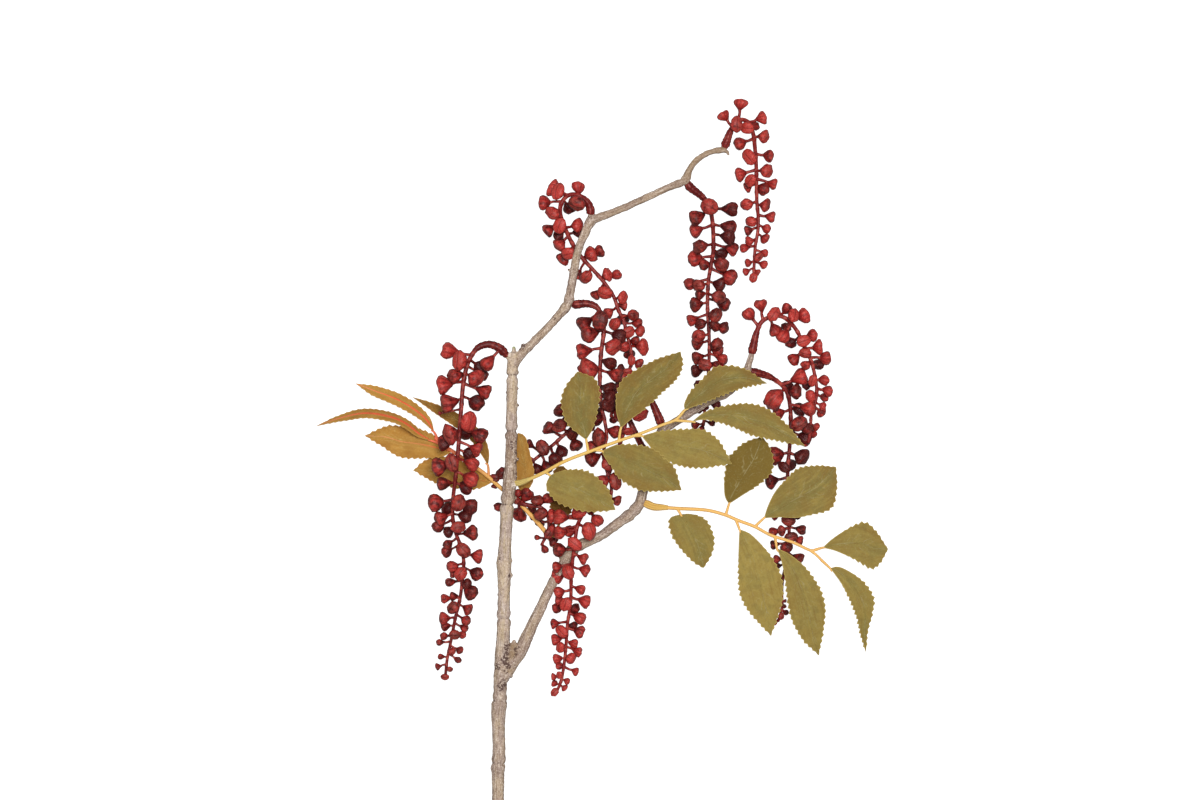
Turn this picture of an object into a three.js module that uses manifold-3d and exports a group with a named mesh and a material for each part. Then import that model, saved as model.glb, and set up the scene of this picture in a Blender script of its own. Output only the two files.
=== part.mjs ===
// A cut pokeweed berry spray, laid down: one forked branch, ten hanging racemes of berries and
// three leafy stems. Millimetres, +Z up, the surface it lies on at z = 0, the cut end towards -Y.
import * as THREE from "three";
import { mergeVertices } from "three/addons/utils/BufferGeometryUtils.js";
import Module from "manifold-3d";

const wasm = await Module();
wasm.setup();

// Driving dimensions, in millimetres unless a name says otherwise
const MM_PER_STEP = 0.65; // one step of the plan view that the routes are drawn on
const PLAN_ORIGIN = { x: 601, y: 531 }; // the point of the plan that lies over the part's origin
const JOINT_GAP = 0.3; // between a twig's end and the collar that sits on it
const BARK_CLEARANCE = 0.4; // the least distance from a collar's rim to the bark
const TWIG_RADIUS = 1.7;
const STRAIGHT_RUN = 1; // the least length of a collar that runs straight on from its twig
const RACEME_COLLAR_RADIUS = 2.3;
const RACEME_AXIS_RADIUS = 1.15;
const RACEME_TIP_RADIUS = 0.75;
const LEAF_COLLAR_RADIUS = 2.1;
const LEAF_AXIS_RADIUS = 1.25;
const LEAF_AXIS_TAPER = 0.25;
const PETIOLE_RADIUS = 0.95;
const BLADE_THICKNESS = 0.7;
const TOOTH_DEPTH = 0.95;
const TOOTH_SPACING = 10.5;
const TOOTH_LEAN = 0.35; // how far a tooth's point is set towards the leaf's tip, in half teeth

// The berry, as shares of its width, above the end of its stalk
const BERRY_SHOULDER = 0.42;
const BERRY_HEIGHT = 0.72;
const BERRY_MIDDLE = 0.36;
const BERRY_OVAL = 0.84;
const STALK_RADIUS = 0.09;
const STALK_ROOT = 0.15; // millimetres from the raceme's axis to a stalk's root
const BERRY_SIDES = 5;

// How berries stand round the axis of a raceme; a spread is the least and the most of a draw
const BERRIES_PER_WHORL = 4;
const KEPT_OF_FIVE = 3;
const WHORL_TWIST = Math.PI / 4;
const WIDTH_SPREAD = [0.88, 1.12];
const STALK_SPREAD = [0.8, 1.2];
const TURN_SPREAD = [-0.3, 0.3]; // radians
const LEANS_OF_EVEN = [0.35, 0.7]; // radians towards the raceme's base
const LEANS_OF_ODD = [-0.35, 0];
const TRY_TURN = Math.PI / 12;
const TRIES = 14;
const PIECE_CLEARANCE = 0.4;
const FLOOR_CLEARANCE = 0.1;
const OWN_CROWDING = 0.74; // berries of one raceme may press together this much

// How finely routes are followed
const STEPS_PER_SPAN = 10;
const SECTION_TURN = 0.6; // radians
const ROD_LENGTH = 6;
const SPRINGING_STEP = 0.25;
const RIM_POINTS = 8;
const MERGE_DISTANCE = 1e-3;

const UP = new THREE.Vector3(0, 0, 1);

// A point of the plan, at a height above the surface
function at(x, y, height) {
  return new THREE.Vector3(
    (x - PLAN_ORIGIN.x) * MM_PER_STEP,
    (PLAN_ORIGIN.y - y) * MM_PER_STEP,
    height,
  );
}

// The branch: rows of plan x, plan y, height and radius along each limb

const MAIN_STEM = [
  [497, 948, 3.97, 4.3], [497, 918, 3.97, 4.3], [497.5, 880, 4.1, 4.1], [497.7, 840, 4.4, 4.0],
  [497.5, 800, 5, 3.9], [497.5, 776, 5.9, 4.2], [497.5, 766, 6.3, 4.8], [498.5, 757, 6.7, 4.2],
  [498, 735, 7.3, 4.2], [498, 716, 8, 4.8], [499, 704, 8.4, 5.0], [499.5, 695, 8.9, 4.3],
  [500, 682, 9.4, 4.6], [501.5, 668, 10, 5.2], [502.4, 656, 10.5, 5.3], [502.8, 642, 11.4, 4.5],
  [503.4, 626, 12.5, 4.2], [503.3, 619, 12.8, 4.5], [503.4, 610, 13.3, 4.0], [503.8, 593, 14.2, 3.9],
  [504.2, 576, 15.4, 4.5], [503.9, 564, 16, 4.9], [504.7, 550, 16.8, 4.2], [505.6, 535, 17.8, 4.1],
  [506.5, 518, 18.9, 4.1], [507.1, 506, 19.5, 4.4], [508.5, 492, 20.3, 4.3], [509.8, 480, 20.9, 4.4],
  [510.8, 468, 21.4, 3.9], [511.3, 448, 22.2, 3.7], [511.5, 433, 23, 3.9], [511.7, 424, 23.5, 3.6],
  [512.1, 400, 24.5, 3.6], [512.4, 380, 25.4, 3.6], [512.5, 373, 25.6, 3.9], [512.9, 364, 25.9, 3.7],
  [513.5, 353, 26.2, 3.6],
];

const SIDE_BRANCH = [
  [504, 668, 10.4, 4.2], [514, 660, 10.6, 4.7], [521, 650, 10.9, 4.4], [525.6, 640, 11.2, 4.1],
  [533, 624, 11.8, 3.7], [540.8, 608, 12.3, 3.4], [548.2, 592, 12.8, 3.2], [555.3, 578, 13.2, 3.3],
  [563, 565, 13.6, 3.9], [572, 551, 14.1, 4.3], [581, 545, 14.5, 3.5], [600, 536.5, 15.5, 3.0],
  [611, 528.5, 16.1, 3.3], [622, 520.5, 16.7, 3.4], [632, 513, 17.2, 3.9], [639.5, 503.5, 17.7, 3.6],
  [643.3, 490, 18.3, 3.3], [649, 470, 19.2, 3.1], [655, 450, 20.2, 3.1], [663, 430, 21, 3.3],
  [672, 424, 21.4, 2.8], [700, 406.5, 22.5, 2.7], [714, 398.5, 22.9, 2.6], [727, 393, 23.1, 2.9],
  [737, 382, 23.3, 2.6], [746, 371, 23.5, 2.9], [748.5, 364, 23.8, 2.1], [751.5, 354, 24.2, 1.9],
];

const UPPER_BRANCH = [
  [512.5, 368, 25.9, 3.3], [517.5, 359, 26.1, 3.4], [526, 350, 26.3, 2.9], [545, 331, 26.5, 2.7],
  [560.5, 314, 26.8, 2.8], [567.7, 304.5, 27, 3.5], [570, 295, 27.1, 2.9], [573.4, 276, 27.4, 2.7],
  [578, 252, 27.7, 2.7], [583.8, 237, 27.9, 2.7], [591, 221.5, 28, 3.4], [598, 218.5, 28.1, 2.8],
  [615, 212.3, 28.3, 2.4], [640, 201.3, 28.6, 2.3], [663, 190.6, 28.8, 2.3], [676, 185.2, 28.9, 2.5],
  [684.5, 181.3, 29, 3.1], [688.5, 172, 29, 2.2], [693.5, 164, 29, 2.0], [701, 157.5, 29, 1.9],
  [711, 152.8, 29, 1.8], [724, 150.4, 29, 2.2],
];

// The racemes: where each springs from the branch, its route to the tip, the width of its first
// and last berries, the distance between its first and last whorls, and where its berries begin

const RACEMES = [
  {
    name: "berry_raceme_01_top",
    root: [723, 151, 29],
    route: [
      [725.5, 144, 29.3], [730.5, 131.3, 28.5], [737.4, 121.5, 27], [746.6, 122, 25],
      [752.7, 133, 22.5], [755, 148, 19.5], [756.5, 166, 16.5], [757, 185, 13.5],
      [757.5, 202, 11.8], [759, 217, 10.5], [758.5, 231, 10], [756.4, 243, 9.5],
      [755.3, 257, 8.6], [754.6, 279, 7],
    ],
    collar: 10, begins: 15, widths: [8.2, 4.4], pitches: [12, 8.6], stalks: [5.4, 3.4], seed: 11,
  },
  {
    name: "berry_raceme_02",
    root: [684.5, 181, 29],
    route: [
      [690.5, 188.6, 27.6], [702, 197.5, 25.5], [709, 207, 23.4], [712.2, 220, 21], [713.4, 235, 18.5],
      [713.4, 251, 16], [711.3, 265, 14.4], [709, 279, 13], [708, 296, 12], [708.2, 314, 11.5],
      [709.6, 336, 11], [709.6, 359, 10.5], [708, 384, 9.5], [705.6, 407, 8.5], [704, 425, 7.5],
    ],
    collar: 14, begins: 20, widths: [10, 6], pitches: [14, 11], stalks: [5.6, 4.2], seed: 22,
  },
  {
    name: "berry_raceme_03",
    root: [590.5, 222, 28],
    route: [
      [590.6, 211.5, 28.6], [588.2, 204, 28.6], [581.5, 197.5, 28], [573, 195, 27], [566, 197.5, 26],
      [561, 205, 25], [560.3, 214, 23.3], [563.5, 224, 21.2], [568.5, 236, 19.2], [574.5, 247, 17.4],
      [582, 257.5, 16.4], [598, 275, 16], [607, 286, 16], [614, 297, 16], [618.5, 310, 16],
      [624, 322, 16], [627.5, 336, 15.6], [630.5, 348, 15.4], [632, 358, 15.4], [630.5, 367, 16],
      [625, 374.5, 17], [619, 383, 17.7], [615.5, 393, 18], [613.6, 404, 17.8], [611, 416, 17.2],
    ],
    collar: 9, begins: 15, widths: [9.6, 5.4], pitches: [14, 10.2], stalks: [5.2, 3.6], seed: 33,
  },
  {
    name: "berry_raceme_04",
    root: [567, 303.5, 27],
    route: [
      [576, 304.8, 27.6], [587, 304, 28], [596, 307, 28], [601, 314, 28], [603.6, 324, 28],
      [603.6, 334, 28], [602.3, 344, 28], [600.8, 356, 28], [600, 372, 28], [600, 390, 28],
      [601, 405, 28], [604.5, 420, 28], [606.5, 436, 27.8], [603.5, 453, 27.6], [606, 468, 27.2],
      [611, 484, 26.6], [616, 502, 26],
    ],
    collar: 14, begins: 20, widths: [10.6, 6.2], pitches: [14, 10.5], stalks: [5.8, 4], seed: 44,
  },
  {
    name: "berry_raceme_05_left",
    root: [512.7, 361, 26],
    route: [
      [506.5, 354.5, 28], [499.5, 348, 29.4], [489, 344.6, 30.6], [478.5, 348, 31.2],
      [471.5, 357, 31.4], [466.8, 369, 31.4], [463.6, 387, 31.4], [462, 407, 31.2], [460, 435, 30.6],
      [458.4, 454, 29.8], [456.3, 475, 28], [453.4, 498, 25], [452.8, 516, 22], [455.5, 532, 19.6],
      [460, 545, 17.8], [463.4, 561, 15.6], [461.8, 582, 13.2], [459, 602, 11.4], [454.9, 618, 10.2],
      [451.8, 634, 9.2], [449, 648, 8.4], [446.3, 661, 7.6], [444.6, 676, 6.8],
    ],
    collar: 20, begins: 26, widths: [11.4, 4.4], pitches: [16.5, 8.6], stalks: [6.2, 3.2], seed: 55,
  },
  {
    name: "berry_raceme_06_right",
    root: [751, 356, 24.1],
    route: [
      [753.3, 345, 24.6], [756, 333.5, 25], [760.5, 323, 25], [768.5, 317.5, 24.6], [778, 316, 24],
      [785.5, 318.5, 23.4], [791.5, 324, 22.8], [798, 333, 21.8], [803, 344, 20.8],
      [807.5, 353, 20], [811.5, 362, 19.2], [814.5, 373, 18.4], [816.6, 385, 17.8],
      [816.8, 396, 17.2], [814.5, 406, 16.8], [811.5, 416, 16.4], [811, 429, 15.8], [809, 442, 15],
    ],
    collar: 12, begins: 17, widths: [7.6, 4.6], pitches: [11, 8], stalks: [5.2, 3.4], seed: 66,
  },
  {
    name: "berry_raceme_07",
    root: [746, 371, 23.5],
    route: [
      [757, 373, 21.8], [768, 376, 19.6], [777, 381, 17.6], [784, 387, 16], [788.5, 395, 15],
      [790.6, 406, 13.8], [791.4, 420, 12.8], [790.4, 446, 12], [788.5, 470, 11.4],
      [789, 500, 11], [790, 530, 10.6], [789, 556, 10], [784, 578, 9.2], [782.8, 594, 8.6],
      [783.2, 608, 8], [779.5, 622, 7.2],
    ],
    collar: 13, begins: 18, widths: [10.2, 5.4], pitches: [14, 10], stalks: [5.4, 3.8], seed: 77,
  },
  {
    name: "berry_raceme_08_front",
    root: [663, 429, 21],
    route: [
      [658.5, 417, 22.6], [652, 402.5, 22.8], [645, 392.5, 21.6], [638, 391, 20], [632, 399, 18],
      [627, 413, 16.2], [624, 430, 15], [619, 447, 14.6], [612.5, 465, 14.6], [605, 481, 15],
      [597, 494, 16.2], [589.5, 505, 17.8], [583, 514, 19.4], [578, 524, 21], [575.8, 535, 22],
      [574.8, 546, 21.8], [573, 557, 20.2], [571.5, 571, 17.2], [571, 584, 15], [570.8, 597, 13.4],
      [569.5, 611, 12], [567.4, 625, 11], [566.4, 639, 10], [565.3, 653, 9], [563.6, 668, 8.2],
      [560.8, 683, 7.4], [555.5, 695, 6.6],
    ],
    collar: 15, begins: 30, widths: [9.4, 4.6], pitches: [14, 9.4], stalks: [5.4, 3.4], seed: 88,
  },
  {
    name: "berry_raceme_09",
    root: [651, 462, 19.6],
    route: [
      [644, 450, 15], [635, 432, 11], [625, 411, 9.4], [615.5, 397, 9], [607, 392.5, 9],
      [599, 400, 9], [591, 412.5, 9], [581, 422, 9], [571, 429, 9], [563, 436, 8.8],
      [554, 444, 8.5], [544, 452, 8.2], [534, 460, 7.8], [525, 466.5, 7.4], [514, 473, 6.6],
      [504, 477.5, 5.6], [490, 480, 4.8],
    ],
    collar: 9, begins: 62, widths: [8.6, 5.2], pitches: [11.5, 9], stalks: [5, 3.4], seed: 99,
  },
  {
    name: "berry_raceme_10_short",
    root: [508, 494, 20.2],
    route: [
      [514, 498.5, 15.4], [520, 503, 14.2], [528.5, 505.6, 14], [537.5, 506.5, 14], [545, 511.5, 14],
      [549, 522, 14], [547, 534, 14], [541.5, 545, 13.6],
    ],
    collar: 4, begins: 5, widths: [8, 4.4], pitches: [8.6, 6.8], stalks: [4.4, 3.4], seed: 110,
  },
];

// The leafy stems. A leaf is given by the plan points of its petiole's foot, its base, its tip and
// its two edges, left and right as seen from its base, by the heights of its base and tip, and by
// how far its blade is arched along its length, rolled about it, and folded up at the edges.

const LEAFY_STEMS = [
  {
    name: "leafy_stem_1_right",
    colour: 0x8c8249,
    root: [510.5, 484, 21.4],
    collar: 9,
    forks: [],
    route: [
      [522, 482, 26], [541.5, 473.5, 33], [564.5, 461, 38.6], [588.5, 451.5, 41],
      [618.6, 440.5, 41.6], [642, 432.5, 41.2], [662, 424.5, 40.8], [675, 419.5, 40.4],
      [683, 411, 40.4],
    ],
    leaves: [
      {
        foot: [589, 451.3], base: [586.4, 439.5], tip: [577.8, 372],
        left: [[579, 434], [566.5, 421.6], [561.4, 401], [567.6, 384]],
        right: [[593, 428], [597.5, 411], [600, 395], [597, 382], [590, 376]],
        heights: [42, 46], arch: 2, roll: 0, fold: 1.2,
      },
      {
        foot: [618, 440.5], base: [620.6, 428], tip: [679.5, 352],
        left: [[616, 411], [616.5, 393], [622, 380], [636, 370], [656, 359.5]],
        right: [[632, 418], [643, 410], [654, 400], [664, 390.5], [676, 379], [682, 365]],
        heights: [42, 47], arch: 2.4, roll: 1, fold: 1.2,
      },
      {
        foot: [594, 450], base: [601.5, 450.5], tip: [681, 489.5],
        left: [[616, 444.5], [633, 444], [650, 447], [662, 455], [673.7, 467]],
        right: [[605, 457.5], [611, 466], [620, 478.5], [639, 489], [661, 490.5]],
        heights: [41, 38], arch: 1.6, roll: -1, fold: 1,
      },
      {
        foot: [634, 435.3], base: [641, 435.6], tip: [731, 463.5],
        left: [[660, 430.5], [680, 429], [703, 429.5], [719, 442]],
        right: [[652, 448.5], [665, 459], [680, 465.5], [699, 467.5], [716, 465.5]],
        heights: [41.4, 38], arch: 1.6, roll: 0, fold: 1,
      },
      {
        foot: [545.7, 470.5], base: [550.5, 475], tip: [615.5, 509],
        left: [[560, 471], [575.7, 468.5], [591, 472], [602, 481], [609.5, 491.5]],
        right: [[546.5, 484], [549.5, 493], [557, 501], [569, 506.5], [584.6, 510.5], [601, 510.5]],
        heights: [34, 38], arch: 2.4, roll: 0, fold: 1,
      },
      {
        foot: [680, 414], base: [684, 410], tip: [765.5, 383.5],
        left: [[683.5, 403], [690, 391], [701, 379.5], [713, 368], [729, 366], [744.5, 369.5]],
        right: [[693, 406.5], [704, 402.5], [717, 397], [731, 391.5], [747, 386.8]],
        heights: [40.4, 39], arch: 3, roll: 1.4, fold: 0.8,
      },
      {
        foot: [674, 420.5], base: [691, 421.5], tip: [803.5, 446],
        left: [[702, 413], [714, 408], [729, 404.5], [747, 403.5], [764, 408], [782, 421]],
        right: [[704, 419.5], [720, 423], [736, 428.8], [749, 434.5], [765, 438.5], [783, 442]],
        heights: [40.6, 38.4], arch: 2.6, roll: 0, fold: 0.8,
      },
    ],
  },
  {
    name: "leafy_stem_2_lower",
    colour: 0x857a42,
    root: [640.5, 501.5, 17.7],
    collar: 13,
    forks: [[[808, 549, 30.2], [815, 554, 30], [821, 560, 30]]],
    route: [
      [654, 506.8, 20.6], [664, 507.3, 22.6], [677, 508.2, 24.6], [705, 509.6, 28.4], [723.5, 514, 30.2],
      [738, 520, 31.2], [754, 526, 31.8], [770, 534.5, 31.6], [791.5, 541.5, 31], [809, 549.5, 30.2],
      [816, 548.6, 30.2],
    ],
    leaves: [
      {
        foot: [677, 508.4], base: [680.7, 514.5], tip: [703.4, 568],
        left: [[690, 513.5], [704, 518], [710.5, 527.5], [714, 538], [713, 550], [708.5, 560.5]],
        right: [[670, 517.5], [669, 527], [673.6, 539], [683, 551.5], [694, 562.5]],
        heights: [25, 18], arch: 2.6, roll: 0, fold: 1,
      },
      {
        foot: [725.7, 514.6], base: [728.4, 503.5], tip: [761, 436.5],
        left: [[724, 495], [723.6, 477], [727, 459.5], [734, 450], [746, 441]],
        right: [[742, 494.5], [756, 485.5], [767, 476], [772, 467], [771, 453], [766.5, 443]],
        heights: [31, 33.4], arch: 1.4, roll: 0, fold: 1.4,
      },
      {
        foot: [753.5, 525.7], base: [763, 517.5], tip: [834.5, 466.5],
        left: [[767, 505], [774, 491], [784, 479.5], [797, 468], [816, 465]],
        right: [[779, 516.5], [795, 517], [810, 514], [824, 510.5], [832, 504], [835.5, 486]],
        heights: [32, 34], arch: 2, roll: 0, fold: 0.8,
      },
      {
        foot: [735, 518.6], base: [738.7, 528.5], tip: [771, 636],
        left: [[750, 533.5], [764, 547.5], [773, 559.5], [780, 574], [782.5, 590], [780, 608]],
        right: [[738, 545], [737.5, 562], [737.5, 578], [739.5, 594], [746, 607.5], [757, 621]],
        heights: [31.6, 21], arch: 3.4, roll: 0.6, fold: 1,
      },
      {
        foot: [773.5, 536], base: [776, 547.6], tip: [819, 655.7],
        left: [[788, 553], [803, 565], [814, 579], [821, 592], [824.6, 609], [823, 630]],
        right: [[780.5, 560], [784, 578], [786.5, 599], [791.5, 620], [803, 640]],
        heights: [31, 19], arch: 3.4, roll: 0, fold: 1,
      },
      {
        foot: [815, 548.8], base: [821.5, 547], tip: [886.8, 548.4],
        left: [[830, 539], [843, 530], [854, 524], [865, 522], [876, 532]],
        right: [[834, 550], [848, 556], [859, 562], [871, 568], [880, 561]],
        heights: [30.4, 28], arch: 2, roll: 0, fold: 0.8,
      },
      {
        foot: [820, 559.4], base: [829, 567.5], tip: [866.3, 652.8],
        left: [[838, 566], [852, 573], [865, 583.5], [873, 598], [872, 613], [868, 630]],
        right: [[834, 574], [841, 584], [849, 600], [856, 617], [860, 634]],
        heights: [29.8, 17], arch: 3, roll: 0, fold: 0.9,
      },
    ],
  },
  {
    name: "leafy_stem_3_left",
    colour: 0xb2853d,
    root: [563.5, 561.5, 13.7],
    collar: 8,
    forks: [],
    route: [
      [557, 551, 12.6], [546, 533.5, 11.8], [531, 516, 11.4], [515, 500, 11], [500, 488, 10.6],
      [487, 476.5, 10.2], [474.5, 467, 9.8], [454, 453, 9], [442, 445, 8.8], [435, 438.5, 8.8],
    ],
    leaves: [
      {
        foot: [442, 445], base: [431, 441], tip: [314.5, 426],
        left: [[418, 437.5], [405, 428.5], [393, 422.5], [367, 418], [342, 421]],
        right: [[421, 432], [407, 420], [386.5, 411.5], [361, 409], [336, 416]],
        heights: [9.4, 1.6], arch: 9, roll: -4.6, fold: 0,
      },
      {
        foot: [438, 440.5], base: [433.5, 432.5], tip: [354.6, 383.4],
        left: [[421, 421], [410, 413.5], [399, 407.5], [386, 401.5], [371, 395]],
        right: [[430, 419], [420, 407.5], [407, 398], [391, 390.5], [372, 385.5]],
        heights: [10, 12.5], arch: 3.4, roll: -2.4, fold: 0,
      },
      {
        foot: [459, 456.5], base: [452, 451.8], tip: [362.5, 436],
        left: [[441, 457], [422, 458.5], [399, 457.5], [381, 447]],
        right: [[438, 438], [418, 429], [402, 426.5], [386, 426], [373, 431]],
        heights: [8.4, 1.8], arch: 0.6, roll: 0, fold: 0.8,
      },
      {
        foot: [489, 478], base: [487.5, 466], tip: [411, 397],
        left: [[478, 451], [466, 436.5], [450, 424.5], [434, 413.5]],
        right: [[488.5, 452], [483, 436], [470, 421.5], [453, 411.5], [432, 403]],
        heights: [9.8, 4.4], arch: -1, roll: 1, fold: 0,
      },
      {
        foot: [497, 485.5], base: [492, 482.5], tip: [411.4, 471],
        left: [[480, 488.5], [466, 490.5], [451, 488], [437, 484.5], [425, 479]],
        right: [[479, 472], [464, 462.5], [450, 457.5], [437, 457], [423, 461]],
        heights: [8.6, 0.9], arch: -0.6, roll: 0, fold: 0.6,
      },
      {
        foot: [519, 504], base: [522, 494], tip: [520, 434],
        left: [[519, 484], [518.5, 470], [518.2, 455], [518.2, 443]],
        right: [[530, 486], [533.5, 474], [530.5, 459], [527, 446]],
        heights: [12, 16.4], arch: 0, roll: -1, fold: 0,
      },
      {
        foot: [551, 541], base: [562, 518], tip: [560, 466.5],
        left: [[552, 511], [549, 500], [550, 486], [554, 473.5]],
        right: [[571, 511], [572.5, 499], [571, 485], [567, 473]],
        heights: [9, 11.5], arch: 0, roll: 0, fold: 0.6,
      },
    ],
  },
];

// Closed surfaces and how they are joined

function solidOf(coordinates, corners) {
  return new wasm.Manifold(
    new wasm.Mesh({
      numProp: 3,
      vertProperties: new Float32Array(coordinates),
      triVerts: new Uint32Array(corners),
    }),
  );
}

function geometryOf(solid) {
  const mesh = solid.getMesh();
  const geometry = new THREE.BufferGeometry();
  geometry.setAttribute("position", new THREE.BufferAttribute(mesh.vertProperties, 3));
  geometry.setIndex(new THREE.BufferAttribute(mesh.triVerts, 1));
  return geometry;
}

// A closed tube through the points, with a facet straight up and one straight down where the
// number of sides is a multiple of four
function tube(points, radii, sides) {
  const positions = [];
  const triangles = [];
  const last = points.length - 1;
  points.forEach((point, i) => {
    const along = points[Math.min(i + 1, last)].clone().sub(points[Math.max(i - 1, 0)]).normalize();
    const side = along.clone().cross(UP).normalize();
    const top = side.clone().cross(along);
    for (let k = 0; k < sides; k += 1) {
      const angle = ((k + 0.5) * 2 * Math.PI) / sides;
      const rim = point.clone();
      rim.addScaledVector(side, radii[i] * Math.cos(angle));
      rim.addScaledVector(top, radii[i] * Math.sin(angle));
      positions.push(rim);
    }
  });
  for (let i = 0; i < last; i += 1) {
    for (let k = 0; k < sides; k += 1) {
      const near = i * sides + k;
      const nearNext = i * sides + ((k + 1) % sides);
      triangles.push([near, near + sides, nearNext]);
      triangles.push([nearNext, near + sides, nearNext + sides]);
    }
  }
  const end = last * sides;
  for (let k = 1; k < sides - 1; k += 1) {
    triangles.push([0, k, k + 1]);
    triangles.push([end, end + k + 1, end + k]);
  }
  return solidOf(positions.flatMap((p) => p.toArray()), triangles.flat());
}

// Smooth routes and the places along them

class Route {
  constructor(points) {
    const spline = new THREE.CatmullRomCurve3(points, false, "catmullrom", 0.5);
    this.points = spline.getPoints((points.length - 1) * STEPS_PER_SPAN);
    this.distances = [0];
    for (let i = 1; i < this.points.length; i += 1) {
      const span = this.points[i].distanceTo(this.points[i - 1]);
      this.distances.push(this.distances[i - 1] + span);
    }
    this.length = this.distances.at(-1);
  }

  placeAt(distance) {
    let i = 1;
    while (i < this.points.length - 1 && this.distances[i] < distance) {
      i += 1;
    }
    const span = this.distances[i] - this.distances[i - 1];
    const share = (distance - this.distances[i - 1]) / span;
    return {
      point: this.points[i - 1].clone().lerp(this.points[i], share),
      along: this.points[i].clone().sub(this.points[i - 1]).normalize(),
    };
  }

  // The place on the route that lies nearest to a point, as seen from above
  nearestInPlan(point) {
    const away = this.points.map((p) => Math.hypot(p.x - point.x, p.y - point.y));
    const i = away.indexOf(Math.min(...away));
    return { away: away[i], distance: this.distances[i], point: this.points[i].clone() };
  }

}

// Distances from start to end, about a step apart
function evenly(start, end, step) {
  const count = Math.max(1, Math.round((end - start) / step));
  return Array.from({ length: count + 1 }, (_, i) => start + ((end - start) * i) / count);
}

// The same distances, with more between two of them where the route turns sharply
function withBends(path, distances) {
  return distances.flatMap((distance, i) => {
    if (i === 0) {
      return [distance];
    }
    const from = distances[i - 1];
    const turn = path.placeAt(from).along.angleTo(path.placeAt(distance).along);
    const parts = 1 + Math.floor(turn / SECTION_TURN);
    return Array.from({ length: parts }, (_, k) => from + ((distance - from) * (k + 1)) / parts);
  });
}

function mix(pair, share) {
  return pair[0] + (pair[1] - pair[0]) * share;
}

function seededDraws(seed) {
  let state = seed;
  return () => {
    state = (Math.imul(state, 1664525) + 1013904223) >>> 0;
    return state / 4294967296;
  };
}

// What a berry has to keep clear of: rods between two points with a radius at each, and beads

function rodsAlong(points, radii) {
  return points.slice(1).map((end, i) => ({
    start: points[i],
    end,
    radius: Math.max(radii[i], radii[i + 1]),
  }));
}

function distanceToRod(point, rod) {
  const axis = rod.end.clone().sub(rod.start);
  const share = point.clone().sub(rod.start).dot(axis) / axis.lengthSq();
  const nearest = rod.start.clone().addScaledVector(axis, Math.min(1, Math.max(0, share)));
  return point.distanceTo(nearest) - rod.radius;
}

function isClear(centre, radius, rods, beads) {
  return (
    centre.z >= radius + FLOOR_CLEARANCE &&
    rods.every((rod) => distanceToRod(centre, rod) >= radius + PIECE_CLEARANCE) &&
    beads.every((bead) => centre.distanceTo(bead.centre) >= radius + bead.radius)
  );
}

// The branch

const LIMBS = [MAIN_STEM, SIDE_BRANCH, UPPER_BRANCH].map((rows) => ({
  points: rows.map(([x, y, height]) => at(x, y, height)),
  radii: rows.map((row) => row[3]),
}));
const BRANCH_RODS = LIMBS.flatMap((limb) => rodsAlong(limb.points, limb.radii));
const LIMB_SIDES = [8, 6, 6];

// A stalk leaves the bark on a short twig, and its collar starts where its rim is clear of the bark
function springing(root, towards, collarRadius) {
  const along = towards.clone().sub(root).normalize();
  const side = along.clone().cross(UP).normalize();
  const top = side.clone().cross(along);
  const rim = Array.from({ length: RIM_POINTS }, (_, k) => {
    const angle = (k * 2 * Math.PI) / RIM_POINTS;
    return side.clone().multiplyScalar(collarRadius * Math.cos(angle))
      .addScaledVector(top, collarRadius * Math.sin(angle));
  });
  let distance = collarRadius;
  const touches = () => {
    const centre = root.clone().addScaledVector(along, distance);
    return rim.some((offset) => (
      BRANCH_RODS.some((rod) => distanceToRod(centre.clone().add(offset), rod) < BARK_CLEARANCE)
    ));
  };
  while (touches()) {
    distance += SPRINGING_STEP;
  }
  return {
    start: root.clone().addScaledVector(along, distance),
    twigEnd: root.clone().addScaledVector(along, distance - JOINT_GAP),
  };
}

function prepared(plant, collarRadius) {
  const root = at(...plant.root);
  let drawn = plant.route.map((row) => at(...row));
  let spring = springing(root, drawn[0], collarRadius);
  while (drawn[0].distanceTo(root) < spring.start.distanceTo(root) + STRAIGHT_RUN) {
    drawn = drawn.slice(1);
    spring = springing(root, drawn[0], collarRadius);
  }
  return { ...plant, root, twigEnd: spring.twigEnd, path: new Route([spring.start, ...drawn]) };
}

const racemes = RACEMES.map((raceme) => prepared(raceme, RACEME_COLLAR_RADIUS));
const leafyStems = LEAFY_STEMS.map((stem) => prepared(stem, LEAF_COLLAR_RADIUS));

function branchSolid() {
  const limbs = LIMBS.map((limb, i) => tube(limb.points, limb.radii, LIMB_SIDES[i]));
  const twigs = [...racemes, ...leafyStems].map((plant) => (
    tube([plant.root, plant.twigEnd], [TWIG_RADIUS, TWIG_RADIUS], 5)
  ));
  return wasm.Manifold.union([...limbs, ...twigs]);
}

// Leaf blades

// One side of a leaf's outline, from base to tip
function edgeOf(leaf, side) {
  const outline = [leaf.base, ...leaf[side], leaf.tip].map(([x, y]) => at(x, y, 0));
  return new Route(outline);
}

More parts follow.
